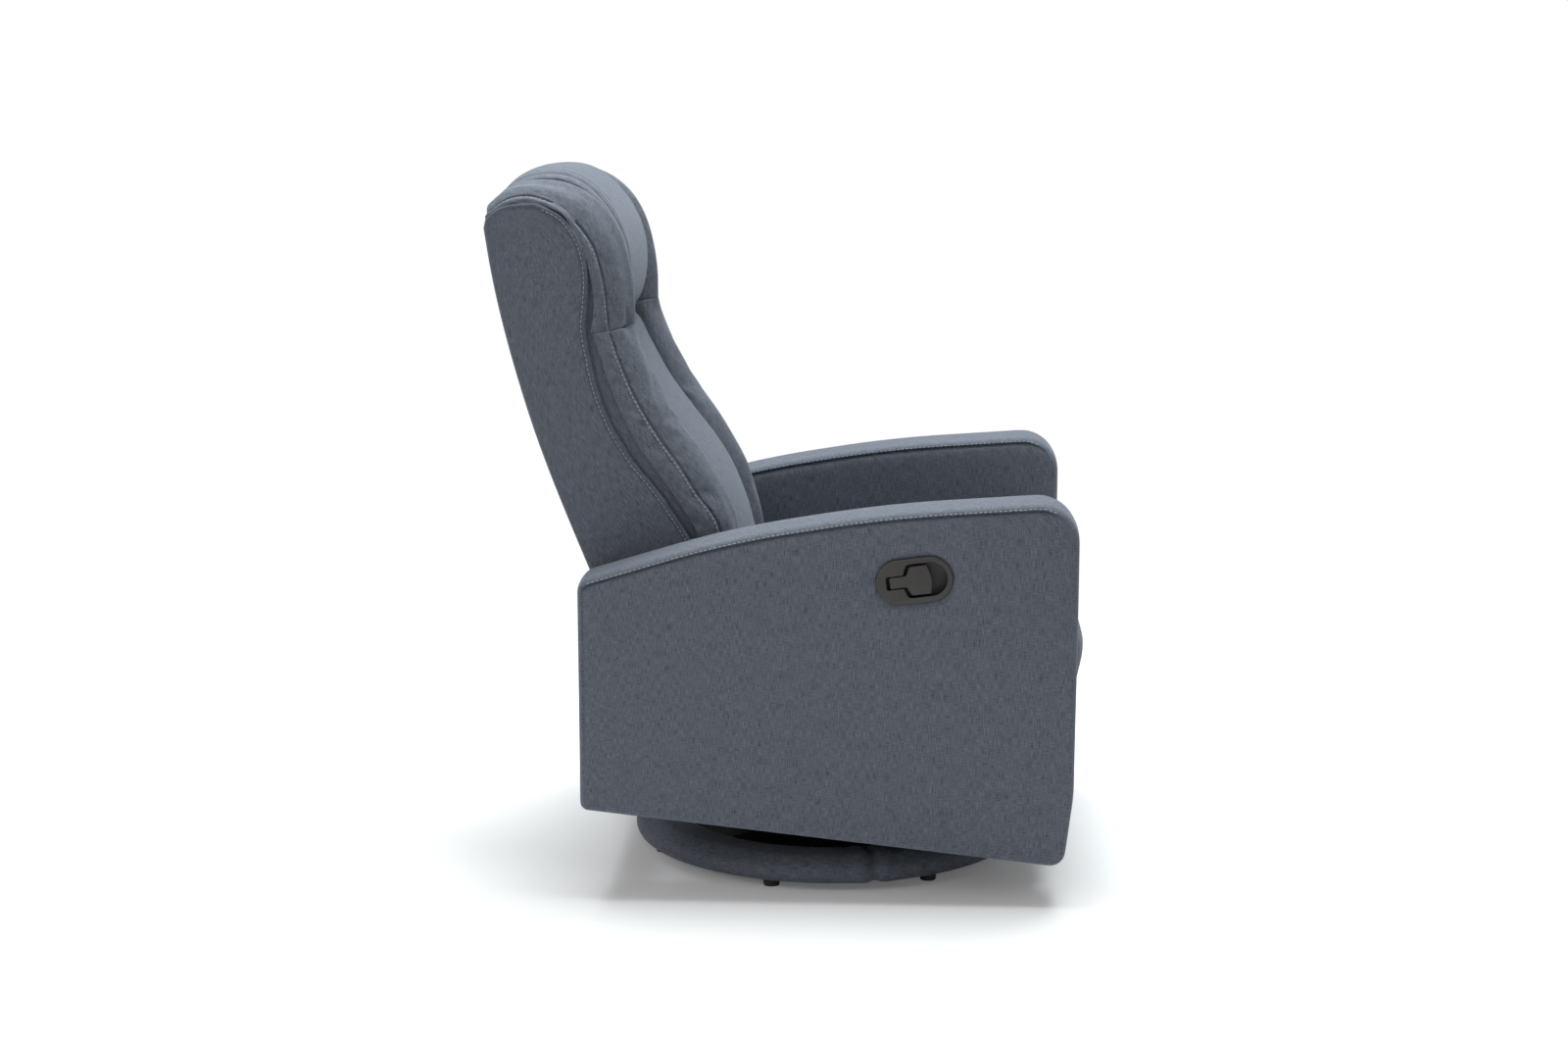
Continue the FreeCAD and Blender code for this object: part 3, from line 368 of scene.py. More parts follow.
class Tree:
    """A tree of shader nodes, with short ways to add nodes and link them."""

    def __init__(self, tree):
        self.nodes, self.links = tree.nodes, tree.links

    def feed(self, node, inputs):
        """Link the node's inputs to sockets, and set those that are given plain values."""
        for key, value in inputs.items():
            if isinstance(value, bpy.types.NodeSocket):
                self.links.new(value, node.inputs[key])
            else:
                node.inputs[key].default_value = value

    def add(self, kind, inputs, **settings):
        """Outputs of a new node."""
        node = self.nodes.new("ShaderNode" + kind)
        for key, value in settings.items():
            setattr(node, key, value)
        self.feed(node, inputs)
        return node.outputs

    def object_coords(self):
        return self.add("TexCoord", {})["Object"]

    def scaled(self, coords, scale):
        return self.add("Mapping", {"Vector": coords, "Scale": scale})["Vector"]

    def noise(self, coords, scale, detail=2.0):
        return self.add("TexNoise", {"Vector": coords, "Scale": scale, "Detail": detail})["Fac"]

    def waves(self, coords, scale, way, distortion=0.0):
        inputs = {"Vector": coords, "Scale": scale, "Distortion": distortion}
        return self.add("TexWave", inputs, bands_direction=way)["Fac"]

    def stretch(self, value, low, high, to_low=0.0, to_high=1.0):
        inputs = {"Value": value, "From Min": low, "From Max": high, "To Min": to_low, "To Max": to_high}
        return self.add("MapRange", inputs)["Result"]

    def maths(self, operation, a, b):
        return self.add("Math", {0: a, 1: b}, operation=operation)["Value"]

    def two_colours(self, share, dark, light):
        inputs = {"Factor": share, "A": (*dark, 1), "B": (*light, 1)}
        return self.add("Mix", inputs, data_type="RGBA")["Result"]

    def bump(self, height, distance, strength=1.0):
        return self.add("Bump", {"Height": height, "Distance": distance, "Strength": strength})["Normal"]


def blank(name):
    """A new material, its tree and its main shader."""
    material = bpy.data.materials.new(name)
    material.use_nodes = True
    tree = Tree(material.node_tree)
    return material, tree, tree.nodes["Principled BSDF"]


def linen():
    """Heathered linen-look weave: crossed slub threads over a plain weave."""
    material, tree, shader = blank("linen_upholstery")
    coords = tree.add("UVMap", {}, uv_map=WEAVE_UV)["UV"]
    warp = tree.noise(tree.scaled(coords, WARP_SCALE), 1.0)
    weft = tree.noise(tree.scaled(coords, WEFT_SCALE), 1.0)
    cloud = tree.noise(coords, 40.0, 5.0)
    slubs = tree.stretch(tree.maths("ADD", warp, tree.maths("MULTIPLY", weft, WEFT_SHARE)), 0.55, 1.15)
    tone = tree.maths("ADD", slubs, tree.stretch(cloud, 0.3, 0.7, -0.05, 0.05))
    threads = [tree.waves(coords, 2 * math.pi / (20 * THREAD_PITCH), way, 0.6) for way in ("X", "Y")]
    height = tree.maths("ADD", tree.maths("ADD", *threads), slubs)
    tree.feed(shader, {"Base Color": tree.two_colours(tone, LINEN_DARK, LINEN_LIGHT),
                       "Normal": tree.bump(height, 0.0003, 0.4), "Roughness": 0.92,
                       "Specular IOR Level": 0.2, "Sheen Weight": 0.18, "Sheen Roughness": 0.4,
                       "Sheen Tint": (0.8, 0.9, 1.0, 1)})
    return material


def thread():
    """Twisted topstitching thread, a shade lighter than the cloth."""
    material, tree, shader = blank("topstitch_thread")
    strands = tree.noise(tree.object_coords(), 900.0)
    tree.feed(shader, {"Base Color": tree.two_colours(strands, (0.20, 0.22, 0.25), (0.36, 0.38, 0.41)),
                       "Normal": tree.bump(strands, 0.0002), "Roughness": 0.7})
    return material


def moulded_plastic(name, dark, light, rough):
    """Moulded plastic with a fine spark-eroded grain."""
    material, tree, shader = blank(name)
    coords = tree.object_coords()
    grain = tree.noise(coords, 1400.0)
    worn = tree.noise(coords, 35.0, 4.0)
    tree.feed(shader, {"Base Color": tree.two_colours(worn, dark, light),
                       "Roughness": tree.stretch(worn, 0.3, 0.7, rough - 0.06, rough + 0.08),
                       "Normal": tree.bump(grain, 0.00012, 0.6)})
    return material


def steel(name, dark, light, rough, metallic):
    """Rolled or painted steel with faint streaks."""
    material, tree, shader = blank(name)
    coords = tree.object_coords()
    streak = tree.noise(tree.scaled(coords, (60, 240, 900)), 1.0, 3.0)
    patch = tree.noise(coords, 22.0, 4.0)
    tree.feed(shader, {"Base Color": tree.two_colours(patch, dark, light), "Metallic": metallic,
                       "Roughness": tree.stretch(streak, 0.3, 0.7, rough - 0.08, rough + 0.1),
                       "Normal": tree.bump(streak, 0.0001, 0.5)})
    return material


def hardwood(name, dark, light):
    """Sawn plywood and hardwood with long grain."""
    material, tree, shader = blank(name)
    grain = tree.noise(tree.scaled(tree.object_coords(), (9, 130, 130)), 1.0, 6.0)
    tree.feed(shader, {"Base Color": tree.two_colours(grain, dark, light), "Roughness": 0.75,
                       "Normal": tree.bump(grain, 0.0004, 0.5)})
    return material


def woven_webbing():
    """Elastic seat webbing with a coarse rib."""
    material, tree, shader = blank("rib_webbing")
    rib = tree.waves(tree.object_coords(), 120.0, "Y")
    tree.feed(shader, {"Base Color": tree.two_colours(rib, (0.03, 0.03, 0.033), (0.09, 0.09, 0.095)),
                       "Normal": tree.bump(rib, 0.0005), "Roughness": 0.9})
    return material


LINEN_DARK = (0.050, 0.056, 0.073)
LINEN_LIGHT = (0.170, 0.186, 0.220)
WARP_SCALE = (1050, 70, 1)
WEFT_SCALE = (90, 1050, 1)
WEFT_SHARE = 0.7
THREAD_PITCH = 0.0015

CLOTH = linen()
THREAD = thread()
HANDLE_PLASTIC = moulded_plastic("handle_satin_plastic", (0.021, 0.0185, 0.017),
                                 (0.034, 0.030, 0.028), 0.42)
FOOT_PLASTIC = moulded_plastic("foot_black_plastic", (0.010, 0.010, 0.011), (0.022, 0.022, 0.024), 0.5)
CAGE_PLASTIC = moulded_plastic("cage_pale_plastic", (0.42, 0.40, 0.34), (0.55, 0.53, 0.46), 0.45)
SHEATH = moulded_plastic("cable_sheath", (0.010, 0.010, 0.010), (0.02, 0.02, 0.02), 0.5)
BLACK_STEEL = steel("black_painted_steel", (0.012, 0.012, 0.013), (0.028, 0.028, 0.03), 0.45, 0.0)
BRIGHT_STEEL = steel("zinc_plated_steel", (0.50, 0.51, 0.52), (0.66, 0.66, 0.65), 0.34, 1.0)
HARDWOOD = hardwood("sawn_hardwood", (0.30, 0.19, 0.10), (0.62, 0.45, 0.27))
# Near-black wood, painted shade: the crossbars and seat frame are raw hardwood and look dark only in the
# shade under the chair.
SHADE_DARK_WOOD = hardwood("shade_dark_wood", (0.012, 0.011, 0.011), (0.030, 0.027, 0.026))
WEBBING = woven_webbing()

SLOT_FINISH = {"upholstery": CLOTH, "hardwood": HARDWOOD, "handle_plastic": HANDLE_PLASTIC,
               "foot_plastic": FOOT_PLASTIC, "bright_steel": BRIGHT_STEEL, "black_steel": BLACK_STEEL,
               "cage_plastic": CAGE_PLASTIC, "webbing": WEBBING, "cable_sheath": SHEATH}
# The crossbars and seat frame get the near-black wood as painted shade.
NODE_FINISH = {"base_crossbars": SHADE_DARK_WOOD, "seat_frame": SHADE_DARK_WOOD}


def coated(piece, material):
    piece.data.materials.clear()
    piece.data.materials.append(material)


def dress_frame():
    """Give every node of the part the finish of its material slot, but the crossbars and seat frame a
    near-black wood that is painted shade.
    """
    for row in frame["record"]["subparts"]:
        coated(frame["nodes"][row["node"]], NODE_FINISH.get(row["node"], SLOT_FINISH[row["material_slot"]]))


def finished(piece, material, body, slot, *nodes):
    coated(piece, material)
    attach(piece, body)
    if nodes:
        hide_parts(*nodes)


def bending(piece, material, slot, bodies, start, end, *nodes):
    """A piece that crosses a joint, coated and baked in place; the bodies, start and end are not used."""
    coated(piece, material)
    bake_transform(piece)
    if nodes:
        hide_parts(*nodes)


# Topstitching

STITCH_LENGTH = 0.0052
STITCH_PITCH = 0.0072
STITCH_R = 0.0008
STITCH_SIDES = 6
STITCH_BAR = 0.55
STITCH_TIP = 0.2
STITCH_DIVE = 0.4
STITCH_PINCH = 0.5
STITCH_AIM = 0.002


def stitch_shape():
    """One stitch: a short round bar, pinched at both ends where it dives into the cloth."""
    deselect()
    bpy.ops.mesh.primitive_cylinder_add(vertices=STITCH_SIDES, radius=STITCH_R,
                                        depth=STITCH_LENGTH * STITCH_BAR)
    piece = bpy.context.object
    bpy.ops.object.mode_set(mode="EDIT")
    bpy.ops.mesh.select_mode(type="FACE")
    for end in (1, -1):
        bpy.ops.mesh.select_all(action="DESELECT")
        bpy.ops.object.mode_set(mode="OBJECT")
        for face in piece.data.polygons:
            face.select = face.normal.z * end > 0.9
        bpy.ops.object.mode_set(mode="EDIT")
        drop = (0, -STITCH_DIVE * STITCH_R, end * STITCH_LENGTH * STITCH_TIP)
        bpy.ops.mesh.extrude_region_move(TRANSFORM_OT_translate={"value": drop})
        bpy.ops.transform.resize(value=(STITCH_PINCH, STITCH_PINCH, 1))
    bpy.ops.object.mode_set(mode="OBJECT")
    points = points_of(piece)
    faces = [list(face.vertices) for face in piece.data.polygons]
    bpy.data.objects.remove(piece)
    return points, faces


STITCH = stitch_shape()


def stitched(name, lines, body):
    """Rows of stitches along lines of (points, outward normals)."""
    shape, faces = STITCH
    verts, polys = [], []
    for line, out in lines:
        along = run_length(line)
        count = int(along[-1] / STITCH_PITCH)
        for at in (np.arange(count) + 0.5) * along[-1] / count:
            ahead = unit(place_at(at + STITCH_AIM, along, line) - place_at(at - STITCH_AIM, along, line))
            side = unit(np.cross(place_at(at, along, out), ahead))
            up = np.cross(ahead, side)
            start = len(verts)
            verts.extend(place_at(at, along, line) + shape @ np.stack([side, up, ahead]))
            polys.extend([[start + i for i in face] for face in faces])
    deselect()
    bpy.ops.mesh.primitive_cube_add(size=STITCH_R)
    piece = named(name)
    piece.data.clear_geometry()
    piece.data.from_pydata([tuple(v) for v in verts], [], polys)
    finish_mesh(piece, 0)
    finished(piece, THREAD, body, "upholstery")


def flat_stitches(line, way):
    """A line of stitches that all look the same way."""
    return line, np.tile(np.array(way, float), (len(line), 1))


# Boxed covers: two panels sewn to a strip that runs round their edge

LIP = 0.0012
LIP_REACH = 0.03
GROOVE_REACH = 0.0035
ROLL_REACH = 0.011
PUCKER = 0.10
PUCKER_START = 0.002
PUCKER_REACH = 0.012
SWELL_POWER = 0.6
SEAM_WALL = ((0.0, 1.0), (0.0012, 0.55), (0.003, 0.12))
LEAST_LIP = 0.004
EDGE_STEPS = 6


def boxed(name, loop, corners, across, up, faces, seam_in, place, crown=None, groove=0.004, bulge=0.0015,
          ease=0.7, strip_steps=10, edge_r=0.012, fade=None, roll=0.0):
    """Closed cover over an outline. faces is (low, high) along the third axis and place maps to x, y, z."""
    low, high = faces
    sides = quad_sides(loop, corners, across, up, ease)
    ring = np.concatenate([side[:-1] for side in sides])
    out = -normals_of(ring, closed=True)
    inset = ring - out * seam_in
    counts = np.cumsum([0] + [len(side) - 1 for side in sides])
    inner = [inset[np.arange(counts[k], counts[k + 1] + 1) % len(inset)] for k in range(4)]
    panel = coons(*inner)
    gap, nearest = near(panel.reshape(-1, 2), inset)
    gap, nearest = gap.reshape(panel.shape[:2]), nearest.reshape(panel.shape[:2])
    u, v = run_length(inner[0]), run_length(inner[1])
    swell = np.abs(np.outer(np.sin(math.pi * v / v[-1]), np.sin(math.pi * u / u[-1]))) ** SWELL_POWER
    tight = np.ones(len(ring)) if fade is None else fade(ring)
    depth, lip = groove * tight, LIP * tight
    wave = ripple(run_length(ring)[nearest], 7)
    sink = depth[nearest] * np.exp(-gap / GROOVE_REACH) + lip[nearest] * np.exp(-gap / LIP_REACH)
    sink += roll * np.exp(-(gap + seam_in) / ROLL_REACH)
    sink += (PUCKER * depth[nearest] * wave * np.exp(-gap / PUCKER_REACH)
             * (1 - np.exp(-gap / PUCKER_START)))
    parts = []
    for level, sign in ((high, 1), (low, -1)):
        rise = -sink if crown is None else crown(panel, swell, sign) - sink
        parts.append(grid_piece(name, place(panel[..., 0], panel[..., 1], level + sign * rise)))
    profile = [(seam_in - run, share, 0.0) for run, share in SEAM_WALL]
    if seam_in - edge_r * 0.75 > LEAST_LIP:
        profile += [(seam_in - edge_r * 0.75, 0.0, 0.0)]
    for t in np.linspace(0, math.pi / 2, EDGE_STEPS + 1)[1:]:
        profile += [(edge_r * (1 - math.sin(t)), 0.0, edge_r * (1 - math.cos(t)))]
    profile = [p for i, p in enumerate(profile) if i == 0 or p[0] < profile[i - 1][0] - 1e-5]
    rows = [(inset_by, high - back, share, -1) for inset_by, share, back in profile]
    span = (high - edge_r) - (low + edge_r)
    for w in np.arange(1, strip_steps) / strip_steps:
        rows.append((-bulge * math.sin(math.pi * w), high - edge_r - span * w, 0.0, 0))
    rows += [(inset_by, low + back, share, 1) for inset_by, share, back in reversed(profile)]
    closed = np.append(np.arange(len(ring)), 0)
    ring, out = ring[closed], out[closed]
    strip = []
    for inset_by, level, share, way in rows:
        flat = ring - out * inset_by
        third = level + way * (share * (depth + lip)[closed] + roll * math.exp(-inset_by / ROLL_REACH))
        strip.append(place(flat[:, 0], flat[:, 1], third))
    parts.append(grid_piece(name, np.array(strip)))
    return sewn(name, *parts), ring, out


def side_view(x, z, y):
    return np.stack(np.broadcast_arrays(x, y, z), axis=-1)


def top_view(x, y, z):
    return side_view(x, z, y)


def front_view(y, z, x):
    return side_view(x, z, y)


def domed(low, high):
    """Crown that lifts the middle of the low panel and of the high panel, each by its own height."""
    def crown(panel, swell, way):
        return (high if way > 0 else low) * swell

    return crown


# Arms

ARM_IN_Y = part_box("arm_cover_left")[0].y
ARM_OUT_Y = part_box("arm_cover_left")[1].y
ARM_SEAM_IN = 0.0088
ARM_STITCH_IN = 0.0058
ARM_STITCH_LOW = 0.47
ARM_STITCH_X = 0.056
ARM_STITCH_HALF = 0.348
ARM_CROWN = 0.0022
ARM_EDGE_R = 0.009
ARM_ROLL = 0.0045
HANDLE_AT = np.array([0.192, 0.495])
HANDLE_TILT = math.radians(7.4)
BEZEL_HALF = (0.056, 0.0335)
BEZEL_SINK = 0.0066
BEZEL_SINK_REACH = 0.0055
BEZEL_RIM = 0.0018
BEZEL_RIM_AT = 0.026
BEZEL_RIM_W = 0.016
POCKET_R = 0.0311
POCKET_RUN = 0.0230
POCKET_DEPTH = 0.06


def racetrack_gap(x, z, half_l, half_h):
    """Distance outside a tilted racetrack, below nought inside it."""
    dx, dz = x - HANDLE_AT[0], z - HANDLE_AT[1]
    along = dx * math.cos(HANDLE_TILT) + dz * math.sin(HANDLE_TILT)
    across = -dx * math.sin(HANDLE_TILT) + dz * math.cos(HANDLE_TILT)
    over = np.maximum(np.abs(along) - (half_l - half_h), 0)
    return np.hypot(over, across) - half_h


def in_handle(along, across, y):
    """Points from the handle's own tilted axes to the part's frame."""
    x = HANDLE_AT[0] + along * math.cos(HANDLE_TILT) - across * math.sin(HANDLE_TILT)
    z = HANDLE_AT[1] + along * math.sin(HANDLE_TILT) + across * math.cos(HANDLE_TILT)
    return side_view(x, z, y)


def ramp(value, start, run):
    """Share from 0 at the start to 1 after the run."""
    return np.clip((value - start) / run, 0, 1)


def top_and_rear(ring):
    """The arm's seam is drawn tight along the top, fades down the rear edge and is lost elsewhere."""
    x, z = ring.T
    top = ramp(z, 0.46, 0.03) * ramp(-x, -0.425, 0.05)
    rear = ramp(-x, 0.285, 0.01) * ramp(z, 0.18, 0.1)
    return np.maximum(top, 0.45 * rear)


def arm(side, sign):
    corners = [(-298, 144), (410, 67), (414, 594), (-296, 481)]
    faces = (ARM_IN_Y, ARM_OUT_Y) if sign > 0 else (-ARM_OUT_Y, -ARM_IN_Y)

    def crown(panel, swell, way):
        rise = ARM_CROWN * swell
        if side == "right" and way < 0:
            off = racetrack_gap(panel[..., 0], panel[..., 1], *BEZEL_HALF)
            rise = rise - BEZEL_SINK * np.exp(-np.maximum(off, 0) / BEZEL_SINK_REACH)
            rise = rise + BEZEL_RIM * np.exp(-((off - BEZEL_RIM_AT) / BEZEL_RIM_W) ** 2)
        return rise

    piece, ring, out = boxed("arm_cushion_" + side, rounded(ARM_CORNERS), corners, 76, 60, faces,
                             ARM_SEAM_IN, side_view, crown=crown, groove=0.0055, edge_r=ARM_EDGE_R,
                             fade=top_and_rear, roll=ARM_ROLL)
    finish_mesh(piece)
    if side == "right":
        handle_pocket(piece)
    finished(piece, CLOTH, "chassis", "upholstery", "arm_cover_" + side)
    top = (ring[:, 1] > ARM_STITCH_LOW) & (np.abs(ring[:, 0] - ARM_STITCH_X) < ARM_STITCH_HALF)
    flat = ring[top] - out[top] * ARM_STITCH_IN
    flat = flat[np.argsort(flat[:, 0])]
    sunk = ARM_EDGE_R - math.sqrt(ARM_EDGE_R ** 2 - (ARM_EDGE_R - ARM_STITCH_IN) ** 2)
    sunk += ARM_ROLL * math.exp(-ARM_STITCH_IN / ROLL_REACH) - STITCH_R / 2
    lines = [flat_stitches(side_view(*flat.T, level - way * sunk), (0, way, 0))
             for level, way in ((faces[1], 1), (faces[0], -1))]
    stitched("arm_topstitch_" + side, lines, "chassis")


def handle_pocket(piece):
    """Opening in the right arm's outer panel for the handle's cup."""
    deselect()
    bpy.ops.mesh.primitive_cylinder_add(vertices=48, radius=POCKET_R, depth=POCKET_DEPTH)
    cutter = bpy.context.object
    points = points_of(cutter)
    points[:, 0] += np.sign(points[:, 0]) * POCKET_RUN
    set_points(cutter, in_handle(points[:, 0], points[:, 1], points[:, 2] - ARM_OUT_Y))
    activate(cutter)
    edit_all()
    face_outwards()
    applied(piece, "BOOLEAN", operation="DIFFERENCE", solver="EXACT", object=cutter)
    bpy.data.objects.remove(cutter)


# Back cover

BACK_HALF_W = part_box("back_shell")[1].y
COVER_SEAM_IN = 0.0065
COVER_CROWN = 0.0030
COVER_STITCHES = slice(4, -20)


def back_cover():
    front = smooth_line(BACK_FRONT, 160)[::-1]
    rear = smooth_line(BACK_REAR, 140)
    top = smooth_line(BACK_TOP, 60)
    foot = np.array([front[0], rear[0]])
    loop = np.concatenate([even(foot, 30)[::-1][:-1], front[:-1], top[::-1][:-1], rear[::-1][:-1]])
    corners = [BACK_REAR[0], BACK_FRONT[-1], BACK_FRONT[0], BACK_REAR[-1]]

    def front_only(ring):
        return ramp(near(ring, rear)[0], 0.03, 0.03)

    piece, _, _ = boxed("back_cover", loop, corners, 34, 96, (-BACK_HALF_W, BACK_HALF_W), COVER_SEAM_IN,
                        side_view, crown=domed(COVER_CROWN, COVER_CROWN), groove=0.0016, strip_steps=26,
                        bulge=0.004, edge_r=0.007, fade=front_only)
    finish_mesh(piece)
    seam = smooth_line(BACK_FRONT, 240)
    x, z = (seam - normals_of(seam) * COVER_SEAM_IN).T
    lines = []
    for way in (1, -1):
        drawn_in(piece, side_view(x, z, way * BACK_HALF_W), 0.0012, 0.0020, 0.0010, 11)
        line = side_view(x, z, way * (BACK_HALF_W - STITCH_R))[COVER_STITCHES]
        lines.append(flat_stitches(line, (0, way, 0)))
    finished(piece, CLOTH, "back", "upholstery", "back_shell")
    stitched("back_cover_topstitch", lines, "back")


# Bolsters and panels of the back

CAP_STEPS = 5
CAP_RINGS = (0.82, 0.6, 0.36, 0.12)
CAP_DOME = 0.12
LOFT_GAP = 0.00002
PIN_GAP = 0.0005
PAD_SWELL = 0.004
SECTION_STEPS = 6
SEAM_COLUMN = 6 * SECTION_STEPS
CREASE_COLUMN = 8 * SECTION_STEPS
LAST_COLUMN = 11 * SECTION_STEPS
CROWN_IN = 0.005
RIDGE_IN = 0.002
FACE_OUT = 0.0045
STRIP_OUT = 0.0015
TUCK_SHARE = 0.16
DRAWN_REACH = 0.014
DRAWN_START = 0.004
STITCH_LIFT = 0.0009
PANEL_HALF_W = 0.157
PANEL_COLUMNS = (1.0, 0.97, 0.82, 0.56, 0.28, 0.0)
PANEL_BACK_SHARES = (0.95, 0.3, -0.3, -0.95)
PANEL_BACK_COLUMN = 2 * (len(PANEL_COLUMNS) - 1) * SECTION_STEPS
PANEL_EDGE_IN = 0.014
FOLD_SWAY = 0.0012
FOLD_RUN = 0.2
GUSSET_HALF_W = 0.245


def offset(line, by):
    """The line moved back into the padding, to the left of its way upwards."""
    return line + normals_of(line) * by


def ring_spline(controls, steps):
    """Closed smooth section through control points, for every row at once."""
    rows = []
    count = controls.shape[1]
    for k in range(count):
        p0, p1, p2, p3 = (controls[:, (k + j - 1) % count] for j in range(4))
        for s in np.arange(steps) / steps:
            rows.append(0.5 * (2 * p1 + (p2 - p0) * s + (2 * p0 - 5 * p1 + 4 * p2 - p3) * s ** 2
                               + (3 * p1 - p0 - 3 * p2 + p3) * s ** 3))
    rows.append(rows[0])
    return np.stack(rows, axis=1)


def capped(rows, low_r, high_r):
    """Close the two ends of a lofted form with rounded, slightly domed caps."""
    ends = []
    for section, inside, radius in ((rows[0], rows[1], low_r), (rows[-1], rows[-2], high_r)):
        middle = section[:-1].mean(axis=0)
        ahead = unit(middle - inside[:-1].mean(axis=0))
        spread = section - middle
        size = np.linalg.norm(spread, axis=1)[:, None]
        extra = []
        for t in np.linspace(0, math.pi / 2, CAP_STEPS + 1)[1:]:
            shrink = np.minimum(radius * (1 - math.cos(t)), 0.5 * size)
            extra.append(middle + spread * (1 - shrink / size) + ahead * radius * math.sin(t))
        rim = extra[-1]
        centre = rim[:-1].mean(axis=0)
        for w in CAP_RINGS:
            extra.append(centre + (rim - centre) * w + ahead * CAP_DOME * radius * (1 - w * w))
        ends.append(np.array(extra))
    return np.concatenate([ends[0][::-1], rows, ends[1]])


def stuffed(name, rows, caps, columns, cap, levels):
    """Closed pad lofted through rows and blown up between the columns that are sewn down."""
    rows = capped(rows, *caps)
    piece = grid_piece(name, rows)
    activate(piece)
    edit_all()
    bpy.ops.mesh.remove_doubles(threshold=LOFT_GAP)
    bpy.ops.mesh.select_all(action="DESELECT")
    bpy.ops.mesh.select_mode(type="EDGE")
    bpy.ops.mesh.select_non_manifold()
    bpy.ops.mesh.fill_holes(sides=0)
    face_outwards()
    gap, _ = near(points_of(piece), rows[:, columns].reshape(-1, 3))
    puffed(piece, gap < PIN_GAP, cap, PAD_SWELL)
    finish_mesh(piece, levels)
    return piece


def bolster_rows(crown, ridge, seam, crease, sign, depth):
    """Sections of a bolster, from its inner foot over the ridge, the seam and the crease, and back."""
    crown, ridge = offset(crown, CROWN_IN), offset(ridge, RIDGE_IN)
    face = offset(0.5 * (ridge + seam), -FACE_OUT)
    strip = offset(0.5 * (seam + crease), -STRIP_OUT)
    tuck = crease + (crown - crease) * TUCK_SHARE
    spots = [(offset(crown, depth), 0.158), (offset(crown, 0.028), 0.158), (offset(crown, 0.009), 0.172),
             (crown, 0.188), (ridge, 0.206), (face, 0.224), (seam, 0.240), (strip, 0.249),
             (crease, 0.251), (tuck, 0.240), (offset(crown, depth * 1.05), 0.205)]
    controls = np.stack([side_view(*line.T, sign * y) for line, y in spots], axis=1)
    return ring_spline(controls, SECTION_STEPS)


def drawn_in(piece, line, deep, wide, pucker, seed):
    """Pull the cloth into a stitched line and pucker it a little on both sides."""
    points, normals = points_of(piece), normals_at(piece)
    gap, at = near(points, line)
    wave = ripple(run_length(line), seed)[at]
    move = -deep * np.exp(-(gap / wide) ** 2)
    move += pucker * wave * np.exp(-(gap / DRAWN_REACH)) * (1 - np.exp(-(gap / DRAWN_START) ** 2))
    set_points(piece, points + normals * move[:, None])


def bolster(name, lines, sign, depth, count, caps, nodes):
    crown, ridge, seam, crease = (smooth_line(line, count) for line in lines)
    rows = bolster_rows(crown, ridge, seam, crease, sign, depth)
    piece = stuffed(name, rows, caps, np.r_[0, SEAM_COLUMN, CREASE_COLUMN:LAST_COLUMN], 0.006, 2)
    drawn_in(piece, even(rows[:, SEAM_COLUMN], 600), 0.0030, 0.0016, 0.0009, len(name))
    finished(piece, CLOTH, "back", "upholstery", *nodes)
    out_way = unit(rows - rows[:, :-1].mean(axis=1, keepdims=True))[1:-1, SEAM_COLUMN + 1]
    line = 0.4 * rows[1:-1, SEAM_COLUMN + 1] + 0.6 * rows[1:-1, SEAM_COLUMN + 2]
    return line + STITCH_LIFT * out_way, out_way


def bolsters():
    head = (HEAD_CROWN, HEAD_RIDGE, HEAD_SEAM, HEAD_CREASE)
    long_side = (SIDE_CROWN, SIDE_RIDGE, SIDE_SEAM, SIDE_CREASE)
    lines = []
    for side, sign in SIDES:
        lines.append(bolster("head_bolster_pad_" + side, head, sign, 0.042, 40, (0.004, 0.008),
                             ["head_bolster_" + side]))
        lines.append(bolster("side_bolster_pad_" + side, long_side, sign, 0.052, 46, (0.014, 0.005),
                             ["side_bolster_" + side]))
    stitched("bolster_topstitch", lines, "back")


def panel_rows(line, rise, thick):
    """Sections of a centre panel: a shallow crowned front and a flat back."""
    halves = [(-w, k) for k, w in enumerate(PANEL_COLUMNS)]
    halves += [(w, k) for k, w in reversed(list(enumerate(PANEL_COLUMNS)))][1:]
    spots = []
    for share, k in halves:
        back = np.full(len(line), PANEL_EDGE_IN) if k == 0 else 0.003 * (k == 1) - rise * (1 - share ** 2)
        spots.append((offset(line, back[:, None]), share * PANEL_HALF_W))
    for share in PANEL_BACK_SHARES:
        spots.append((offset(line, thick), share * PANEL_HALF_W))
    controls = np.stack([side_view(*p.T, y) for p, y in spots], axis=1)
    return ring_spline(controls, SECTION_STEPS)


def centre_panel(name, line, rise, thick, count, caps, node, cap, levels, folds=()):
    share = np.linspace(0, 1, count)
    path = smooth_line(line, count)
    rows = panel_rows(path, np.interp(share, *np.array(rise).T), thick)
    piece = stuffed(name, rows, caps, np.r_[0, PANEL_BACK_COLUMN:rows.shape[1]], cap, levels)
    points, normals = points_of(piece), normals_at(piece)
    _, row = near(points[:, [0, 2]], path)
    inward = normals_of(path)[row]
    facing = np.clip(-(normals[:, 0] * inward[:, 0] + normals[:, 2] * inward[:, 1]), 0, 1)
    for y, deep, start, wide in folds:
        sway = y + FOLD_SWAY * np.sin(share[row] * 23 + y * 90)
        dent = deep * np.exp(-((points[:, 1] - sway) / wide) ** 2) * ramp(share[row], start, FOLD_RUN)
        points = points - normals * (dent * facing)[:, None]
    set_points(piece, points)
    finished(piece, CLOTH, "back", "upholstery", node)


